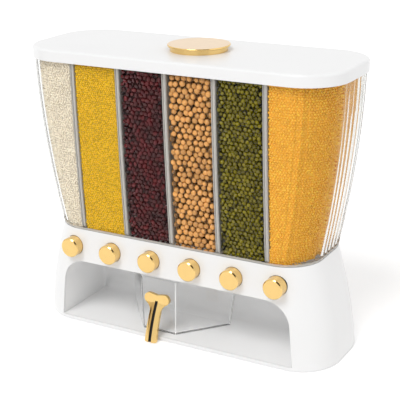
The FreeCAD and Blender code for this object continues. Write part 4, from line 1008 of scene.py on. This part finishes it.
class DISPENSER_OT_add_cup(bpy.types.Operator):
    """Add the clear scoop"""

    bl_idname = "dispenser.add_cup"
    bl_label = "Add scoop"

    def execute(self, context):
        wall, rim = CUP_WALL, CUP_HEIGHT
        rows = [cup_row(0, 1.0), cup_row(0.3, 0.35), cup_row(1.0, 0)]
        rows += [cup_row(height, 0) for height in (20, 40, rim - 0.6)]
        rows += [cup_row(rim - 0.15, 0.2), cup_row(rim, 0.6), cup_row(rim, 1.2), cup_row(rim - 0.15, 1.6)]
        rows += [cup_row(height, wall) for height in (rim - 0.6, 40, 20, wall + 1.2)]
        rows += [cup_row(wall + 0.35, wall + 0.5), cup_row(wall, wall + 1.2)]
        cup = shaped_tube("scoop_bowl", rows, "filled")
        give_materials(cup, clear_scoop(), painted_highlight_edge())
        # Corners, rim and foot take the white painted highlight
        for polygon in cup.data.polygons:
            normal, height = polygon.normal, polygon.center.z / MM - CUP_FLOOR
            turn = math.degrees(math.atan2(normal.y, abs(normal.x)))
            at_corner = min(abs(turn - corner) for corner in CUP_CORNER_TURNS) < 9
            on_corner = at_corner and abs(normal.z) < 0.3
            on_rim = normal.z > 0.9 and height > wall * 3
            on_foot = -0.95 < normal.z < -0.1 and height < wall
            polygon.material_index = int(on_corner or on_rim or on_foot)
        smooth(cup, 30)
        place_piece(cup, "cup_body", "clear_plastic", ["cup"])
        return {"FINISHED"}


# Lines down each side of the handle's front, so that it can be crowned between them
CROWN_LINES = (2.2, 3.0, 3.8, 4.6, 5.4, 6.2, 6.9)
# How far the crown falls back, over what width, at what height it ends and over what height it fades there
CROWN = 1.8
CROWN_WIDTH = 6.4
CROWN_END = 46.0
CROWN_FADE = 10.0
# What lies nearer than this to the handle's middle is the groove, and how much wider it is drawn
GROOVE_REACH = 0.95
GROOVE_WIDENING = 2.05


class DISPENSER_OT_add_handle(bpy.types.Operator):
    """Add the scoop's gold handle"""

    bl_idname = "dispenser.add_handle"
    bl_label = "Add handle"

    def execute(self, context):
        handle = merged_copy("cup_handle", "scoop_grip")
        for across in CROWN_LINES:
            for side in (-1, 1):
                edit_selected(
                    handle,
                    "FACE",
                    lambda face: True,
                    (
                        bpy.ops.mesh.bisect,
                        {"plane_co": ((CUP_X + side * across) * MM, 0, 0), "plane_no": (1, 0, 0)},
                    ),
                )
        mesh = handle.data
        give_materials(handle, gold_plate(), painted_groove_shade())
        front = set()
        for polygon in mesh.polygons:
            reach = max(abs(mesh.vertices[corner].co.x / MM - CUP_X) for corner in polygon.vertices)
            # The groove's faces take the near-black painted shade
            polygon.material_index = int(reach < GROOVE_REACH)
            if polygon.normal.y < -0.6 and reach > GROOVE_REACH:
                front.update(polygon.vertices)
        for vertex in mesh.vertices:
            across = vertex.co.x / MM - CUP_X
            if abs(across) < GROOVE_REACH:
                vertex.co.x = (CUP_X + across * GROOVE_WIDENING) * MM
            elif vertex.index in front:
                share = min((abs(across) - GROOVE_REACH) / CROWN_WIDTH, 1)
                fade = min(max((CROWN_END - vertex.co.z / MM) / CROWN_FADE, 0), 1)
                vertex.co.y += CROWN * share ** 2 * fade * MM
        soften(handle, 0.22, 30, 2)
        smooth(handle, 30)
        place_piece(handle, "cup_body", "gold_plated", ["cup_handle"])
        return {"FINISHED"}


# Foods

# Heights of the food's upper surface and of its foot
FILL_TOP = 321.5
FILL_LOW = 119.2
# Between the tank's wall and the outermost grains
WALL_GAP = 0.25
# From a divider's middle to the food beside its rails
RAIL_ZONE = 2.8
# How far behind the tank's wall the food beside a divider can be seen
SEEN_DEPTH = 9.0


class Food(NamedTuple):
    """A food and the look of its grains. Tones are shares of the food's colour."""

    name: str
    colour: str
    # a grain's length, width and thickness in millimetres
    size: tuple
    # the darkest and the lightest grain
    tones: tuple
    # painted shade on a grain's side, as a share of its front
    side: float
    # painted shade of what shows between grains, near and deep
    gap_shades: tuple
    roughness: float
    layers: int = 1
    # how finely one grain is modelled: corners round it and rings along it
    corners: int = 6
    rings: int = 3
    # how far an end chamber's food has settled away from the tank's end, in millimetres
    end_gap: float = 0.0


BEANS = {"layers": 2, "corners": 12, "rings": 8}
FOODS = (
    Food(
        name="rice",
        colour="rice",
        size=(5.0, 2.3, 1.7),
        tones=(0.84, 1.04),
        side=0.95,
        gap_shades=(0.85, 0.6),
        roughness=0.5,
        end_gap=2.6,
    ),
    Food(
        name="millet",
        colour="millet",
        size=(2.7, 2.6, 2.0),
        tones=(0.78, 1.06),
        side=0.85,
        gap_shades=(0.75, 0.45),
        roughness=0.5,
    ),
    Food(
        name="adzuki_beans",
        colour="adzuki",
        size=(6.6, 5.0, 4.9),
        tones=(0.5, 1.7),
        side=0.2,
        gap_shades=(0.2, 0.05),
        roughness=0.16,
        **BEANS,
    ),
    Food(
        name="soybeans",
        colour="soy",
        size=(7.2, 7.0, 6.8),
        tones=(0.75, 1.15),
        side=0.25,
        gap_shades=(0.1, 0.03),
        roughness=0.22,
        **BEANS,
    ),
    Food(
        name="mung_beans",
        colour="mung",
        size=(5.3, 4.8, 4.7),
        tones=(0.6, 1.5),
        side=0.08,
        gap_shades=(0.08, 0.02),
        roughness=0.16,
        **BEANS,
    ),
    Food(
        name="corn_grits",
        colour="corn",
        size=(3.4, 3.1, 1.9),
        tones=(0.88, 1.15),
        side=0.95,
        gap_shades=(1.0, 0.85),
        roughness=0.5,
        end_gap=5.0,
    ),
)


def chamber_outline(number, z, inset):
    """The outline of a chamber's room at a height, set in from its walls."""
    half_length, half_depth, radius = tank_size(tank_share(z), body_sizes().tank_wall + inset)
    half_length -= FOODS[number].end_gap
    low = (number - CHAMBERS / 2) * DIVIDER_PITCH + RAIL_ZONE + inset
    high = (number + 1 - CHAMBERS / 2) * DIVIDER_PITCH - RAIL_ZONE - inset
    side_steps = 10
    if 0 < number < CHAMBERS - 1:
        corners = [(low, -half_depth), (high, -half_depth), (high, half_depth), (low, half_depth)]
        return [
            tuple(a + (b - a) * (step / side_steps) for a, b in zip(start, end))
            for start, end in zip(corners, corners[1:] + corners[:1])
            for step in range(side_steps)
        ]
    # An end chamber's outline has as many points: two corners and its rounded end
    shares = evenly(0, 1, 4 * side_steps - 3)
    end = [end_point(share, half_length, half_depth, radius) for share in shares]
    points = [(low, -half_depth)] + end + [(low, half_depth)]
    if number == 0:
        points = [(-x, -y) for x, y in [(-high, -half_depth)] + end + [(-high, half_depth)]]
    return points


def grain_shape(size, corners, rings):
    """Vertices and triangles of one grain, modelled once: a squeezed ball."""
    bpy.ops.mesh.primitive_uv_sphere_add(segments=corners, ring_count=rings, radius=0.5)
    ball = named_primitive("grain")
    edit_selected(ball, "FACE", lambda face: True, (bpy.ops.mesh.quads_convert_to_tris, {}))
    points = np.array([vertex.co[:] for vertex in ball.data.vertices])
    # Sorted, because their order isn't the same each time and each grain's tone follows from it
    faces = np.array(sorted(polygon.vertices[:] for polygon in ball.data.polygons))
    bpy.data.objects.remove(ball)
    return points[:, [2, 0, 1]] * np.array(size), faces


def wall_spots(number, spacing, inset, chance):
    """Places on the chamber's upright faces, each with the direction that the wall faces."""
    spots = []
    rows = int((FILL_TOP - FILL_LOW) / (spacing * 0.87))
    for row, z in enumerate(evenly(FILL_LOW, FILL_TOP, rows)):
        outline = np.array(chamber_outline(number, z, inset))
        following = np.roll(outline, -1, axis=0)
        lengths = np.linalg.norm(following - outline, axis=1)
        reach = np.concatenate([[0], np.cumsum(lengths)])
        count = int(reach[-1] / spacing)
        for place in range(count):
            shift = 0.5 * (row % 2) + chance.uniform(-0.17, 0.17)
            distance = (place + shift) / count * reach[-1] % reach[-1]
            edge = int(np.searchsorted(reach, distance, side="right")) - 1
            share = (distance - reach[edge]) / lengths[edge]
            point = outline[edge] + (following[edge] - outline[edge]) * share
            along = (following[edge] - outline[edge]) / lengths[edge]
            hidden = abs(along[0]) < 0.1 and abs(point[0]) < DIVIDER_PITCH * 2.5
            if hidden and abs(point[1]) < np.abs(outline[:, 1]).max() - SEEN_DEPTH:
                continue
            height = z + chance.uniform(-0.17, 0.17) * spacing
            spots.append(((point[0], point[1], height), (along[1], -along[0], 0)))
    return spots


def inside_outline(x, y, outline):
    """True where a point lies inside an outline."""
    inside = False
    for (x1, y1), (x2, y2) in zip(outline, outline[1:] + outline[:1]):
        if (y1 > y) != (y2 > y) and x < (x2 - x1) * (y - y1) / (y2 - y1) + x1:
            inside = not inside
    return inside


def top_spots(number, spacing, inset, chance):
    """Places on the food's upper surface, which is a little uneven."""
    outline = chamber_outline(number, FILL_TOP, inset)
    xs, ys = [p[0] for p in outline], [p[1] for p in outline]
    spots = []
    for row in range(int((max(ys) - min(ys)) / (spacing * 0.87)) + 1):
        y = min(ys) + row * spacing * 0.87
        for column in range(int((max(xs) - min(xs)) / spacing) + 1):
            x = min(xs) + (column + 0.5 * (row % 2)) * spacing
            if inside_outline(x, y, outline):
                wobble = 0.8 * math.sin(x / 9 + number) * math.cos(y / 11)
                shift = chance.uniform(-0.2, 0.2, 3) * spacing
                spots.append(((x + shift[0], y + shift[1], FILL_TOP + wobble + shift[2] / 2), (0, 0, 1)))
    return spots


def spread_grains(name, grain, faces, spots, chance):
    """One mesh with a turned copy of the grain at each spot, its flat side to the wall."""
    centres = np.array([spot[0] for spot in spots])
    normals = np.array([spot[1] for spot in spots], float)
    count = len(spots)
    up = np.tile([0.0, 0.0, 1.0], (count, 1))
    up[np.abs(normals[:, 2]) > 0.9] = (1.0, 0.0, 0.0)
    side = np.cross(up, normals)
    side /= np.linalg.norm(side, axis=1)[:, None]
    up = np.cross(normals, side)
    turn = chance.uniform(0, 2 * math.pi, count)[:, None]
    tilt = chance.normal(0, 0.25, count)[:, None]
    long_axis = np.cos(turn) * side + np.sin(turn) * up
    long_axis = np.cos(tilt) * long_axis + np.sin(tilt) * normals
    wide_axis = np.cross(normals, long_axis)
    wide_axis /= np.linalg.norm(wide_axis, axis=1)[:, None]
    thick_axis = np.cross(long_axis, wide_axis)
    scale = chance.uniform(0.88, 1.1, count)[:, None, None]
    axes = np.stack([long_axis, wide_axis, thick_axis], axis=1)
    points = (np.einsum("vk,nkj->nvj", grain, axes) * scale + centres[:, None, :]) * MM
    triangles = (faces[None, :, :] + (np.arange(count) * len(grain))[:, None, None]).reshape(-1, 3)
    mesh = bpy.data.meshes.new(name)
    mesh.from_pydata(points.reshape(-1, 3).tolist(), [], triangles.tolist())
    # Painted shade mask: 1 where a grain's skin faces the wall, falling to 0 at its side
    outward = np.clip(grain[:, 2] / grain[:, 2].max() / 0.7, 0, 1).astype(np.float32)
    mesh.attributes.new(PAINTED_SHADE_ATTRIBUTE, "FLOAT", "POINT").data.foreach_set("value", np.tile(outward, count))
    piece = bpy.data.objects.new(name, mesh)
    bpy.context.scene.collection.objects.link(piece)
    for polygon in mesh.polygons:
        polygon.use_smooth = True
    return piece


class DISPENSER_OT_add_foods(bpy.types.Operator):
    """Add the six foods that fill the chambers"""

    bl_idname = "dispenser.add_foods"
    bl_label = "Add foods"

    def execute(self, context):
        chance = np.random.default_rng(6)
        for number, food in enumerate(FOODS):
            base = tuple(getattr(finishes(), food.colour))
            length, width, thickness = food.size
            spacing = math.sqrt(length * width)
            layers = [WALL_GAP + thickness * (0.5 + layer) for layer in range(food.layers)]
            spots = top_spots(number, spacing, layers[0], chance)
            for inset in layers:
                spots += wall_spots(number, spacing, inset, chance)
            grain, faces = grain_shape(food.size, food.corners, food.rings)
            grains = spread_grains(food.name, grain, faces, spots, chance)
            skin = grain_skin(
                "dried_" + food.name, base, *food.tones, food.side, food.roughness, speckle=spacing / 3
            )
            give_materials(grains, skin)
            depth = layers[-1] + 0.2 * thickness
            rows = [at_height(chamber_outline(number, z, depth), z) for z in evenly(FILL_LOW, FILL_TOP, 8)]
            core = shaped_tube("heap", rows, "filled")
            # The heap behind the grains carries painted shade: the food's colour darkened, so that the gaps
            # read dark
            give_materials(core, painted_gap_shade("packed_" + food.name, base, spacing, *food.gap_shades))
            place_piece(join_pieces([grains, core]), "stand", None, [])
        return {"FINISHED"}


# Carried-over nodes


class DISPENSER_OT_dress_nodes(bpy.types.Operator):
    """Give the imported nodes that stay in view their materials"""

    bl_idname = "dispenser.dress_nodes"
    bl_label = "Dress packed nodes"

    def execute(self, context):
        looks = {
            "white_abs": white_shell(),
            "inner_white": white_inside(),
            "clear_plastic": clear_wall(),
            "gold_plated": gold_plate(),
            "steel": shared("zinc_plated_steel", zinc_steel),
            "grey_silicone": shared("grey_silicone_rubber", rubbery, tuple(finishes().silicone)),
        }
        for part in frame["record"]["subparts"]:
            node = frame["nodes"][part["node"]]
            look = looks[part["material_slot"]]
            if part["node"].startswith("divider"):
                look = frosted_divider()
            give_materials(node, look)
        return {"FINISHED"}


# Stage

# The rays that see the surroundings: the camera's, and those off metal or through glass
SEEN_RAYS = ("Is Camera Ray", "Is Glossy Ray", "Is Transmission Ray")
# How bright the surroundings are as light on things, and as those rays see them
ROOM_LIGHT = 0.67
ROOM_SEEN = 1.0
FLOOR_LIFT = 0.24
CAMERA_TURN = 29.44
CAMERA_LIFT = 19.0
CAMERA_DISTANCE = 1.2472
CAMERA_TARGET = (0.00454, 0.0, 0.1567)
CAMERA_ROLL = -0.81
CAMERA_LENS = 96.31


def white_floor(name):
    """A white floor that keeps the object's shadow: the camera sees it a little brighter than it is lit."""
    material, tree = new_material(name)
    mottle = add_node(
        tree,
        "ShaderNodeTexNoise",
        {"Scale": per_millimetre(330.0), "Detail": 1.0},
        {"Vector": object_place(tree)},
    )
    tone = add_node(
        tree,
        "ShaderNodeMix",
        {"data_type": "RGBA", "A": linear("#FCFCFC"), "B": linear("#FAFAFA")},
        {"Factor": mottle.outputs["Fac"]},
    )
    shader = add_node(
        tree, "ShaderNodeBsdfPrincipled", {"Roughness": 0.9}, {"Base Color": tone.outputs["Result"]}
    )
    seen = any_ray(tree, *SEEN_RAYS)
    lift = add_node(tree, "ShaderNodeMath", {"operation": "MULTIPLY", 1: FLOOR_LIFT}, {0: seen})
    glow = add_node(tree, "ShaderNodeEmission", {}, {"Strength": lift.outputs["Value"]})
    both = add_node(
        tree, "ShaderNodeAddShader", {}, {0: shader.outputs["BSDF"], 1: glow.outputs["Emission"]}
    )
    return with_surface(material, both.outputs["Shader"])


def add_far_lamp(name, turn, lift, spread, strength):
    """A far, wide lamp: turn is its bearing from the front towards the right, lift its height, in degrees."""
    data = bpy.data.lights.new(name, "SUN")
    data.angle = math.radians(spread)
    data.energy = strength
    lamp = bpy.data.objects.new(name, data)
    across, up = math.radians(turn), math.radians(lift)
    towards = Vector((math.sin(across) * math.cos(up), -math.cos(across) * math.cos(up), math.sin(up)))
    lamp.rotation_euler = towards.to_track_quat("Z", "Y").to_euler()
    bpy.context.scene.collection.objects.link(lamp)


def add_card(name, location, size, shade):
    """A card that only shows in what polished surfaces reflect."""
    aim = (Vector((0, 0, 0.1)) - Vector(location)).to_track_quat("Z", "Y").to_euler()
    bpy.ops.mesh.primitive_plane_add(size=size, location=location, rotation=aim)
    card = named_primitive(name)
    give_materials(card, shared(name + "_paper", rubbery, linear(shade)))
    card.visible_camera = False
    card.visible_diffuse = False
    card.visible_transmission = False
    card.visible_shadow = False


class DISPENSER_OT_add_stage(bpy.types.Operator):
    """Add the floor, the lamps, the surroundings and the camera"""

    bl_idname = "dispenser.add_stage"
    bl_label = "Add stage"

    def execute(self, context):
        bpy.ops.mesh.primitive_plane_add(size=16)
        floor = named_primitive("floor")
        give_materials(floor, white_floor("plain_white_floor"))

        scene = context.scene
        world = bpy.data.worlds.new("studio")
        scene.world = world
        world.use_nodes = True
        tree = world.node_tree
        tree.nodes.clear()
        strength = add_node(
            tree,
            "ShaderNodeMapRange",
            {"To Min": ROOM_LIGHT, "To Max": ROOM_SEEN},
            {"Value": any_ray(tree, *SEEN_RAYS)},
        )
        light = add_node(
            tree,
            "ShaderNodeBackground",
            {"Color": linear("#FFFFFF")},
            {"Strength": strength.outputs["Result"]},
        )
        add_node(tree, "ShaderNodeOutputWorld", {}, {"Surface": light.outputs["Background"]})

        add_far_lamp("key_lamp", -7, 52, 24, 1.27)
        add_far_lamp("side_lamp", 95, 30, 60, 0.25)
        add_card("high_dark_card", (0.87, -0.87, 1.13), 1.1, "#2A2018")
        add_card("low_brown_card", (-1.18, -0.47, 0.25), 0.42, "#3A2412")
        add_card("low_pale_card", (-1.2, -1.05, 0.32), 1.0, "#DCD2C4")

        turn, lift, roll = (math.radians(angle) for angle in (CAMERA_TURN, CAMERA_LIFT, CAMERA_ROLL))
        back = Vector((math.sin(turn) * math.cos(lift), -math.cos(turn) * math.cos(lift), math.sin(lift)))
        right = Vector((math.cos(turn), math.sin(turn), 0))
        up = back.cross(right)
        level = right * math.cos(roll) + up * math.sin(roll)
        upright = up * math.cos(roll) - right * math.sin(roll)
        place = Vector(CAMERA_TARGET) + back * CAMERA_DISTANCE
        data = bpy.data.cameras.new("camera")
        data.lens = CAMERA_LENS
        data.sensor_width = 36.0
        camera = bpy.data.objects.new("camera", data)
        aim = Matrix((level, upright, back)).transposed().to_4x4()
        camera.matrix_world = Matrix.Translation(place) @ aim
        scene.collection.objects.link(camera)
        scene.camera = camera
        scene.view_settings.view_transform = "Standard"
        return {"FINISHED"}


class DISPENSER_PT_panel(bpy.types.Panel):
    """Lists the dispenser's pieces"""

    bl_idname = "DISPENSER_PT_panel"
    bl_label = "Dispenser"
    bl_space_type = "VIEW_3D"
    bl_region_type = "UI"
    bl_category = "Dispenser"

    def draw(self, context):
        for group in (context.scene.dispenser_sizes, context.scene.dispenser_finishes):
            column = self.layout.column(align=True)
            for name in group.__annotations__:
                column.prop(group, name)
        for operator in OPERATORS:
            self.layout.operator(operator.bl_idname)


OPERATORS = (
    DISPENSER_OT_add_stage,
    DISPENSER_OT_dress_nodes,
    DISPENSER_OT_add_base,
    DISPENSER_OT_add_lining,
    DISPENSER_OT_add_buttons,
    DISPENSER_OT_add_tank,
    DISPENSER_OT_add_lid,
    DISPENSER_OT_add_knob,
    DISPENSER_OT_add_cup,
    DISPENSER_OT_add_handle,
    DISPENSER_OT_add_foods,
)
CLASSES = (BodySizes, Finishes) + OPERATORS + (DISPENSER_PT_panel,)


def register():
    for item in CLASSES:
        bpy.utils.register_class(item)
    bpy.types.Scene.dispenser_sizes = bpy.props.PointerProperty(type=BodySizes)
    bpy.types.Scene.dispenser_finishes = bpy.props.PointerProperty(type=Finishes)


def unregister():
    del bpy.types.Scene.dispenser_finishes
    del bpy.types.Scene.dispenser_sizes
    for item in reversed(CLASSES):
        bpy.utils.unregister_class(item)


def main():
    register()
    bpy.ops.dispenser.add_stage()
    bpy.ops.dispenser.dress_nodes()
    bpy.ops.dispenser.add_base()
    bpy.ops.dispenser.add_lining()
    bpy.ops.dispenser.add_buttons()
    bpy.ops.dispenser.add_tank()
    bpy.ops.dispenser.add_lid()
    bpy.ops.dispenser.add_knob()
    bpy.ops.dispenser.add_cup()
    bpy.ops.dispenser.add_handle()
    bpy.ops.dispenser.add_foods()


if __name__ == "__main__":
    main()
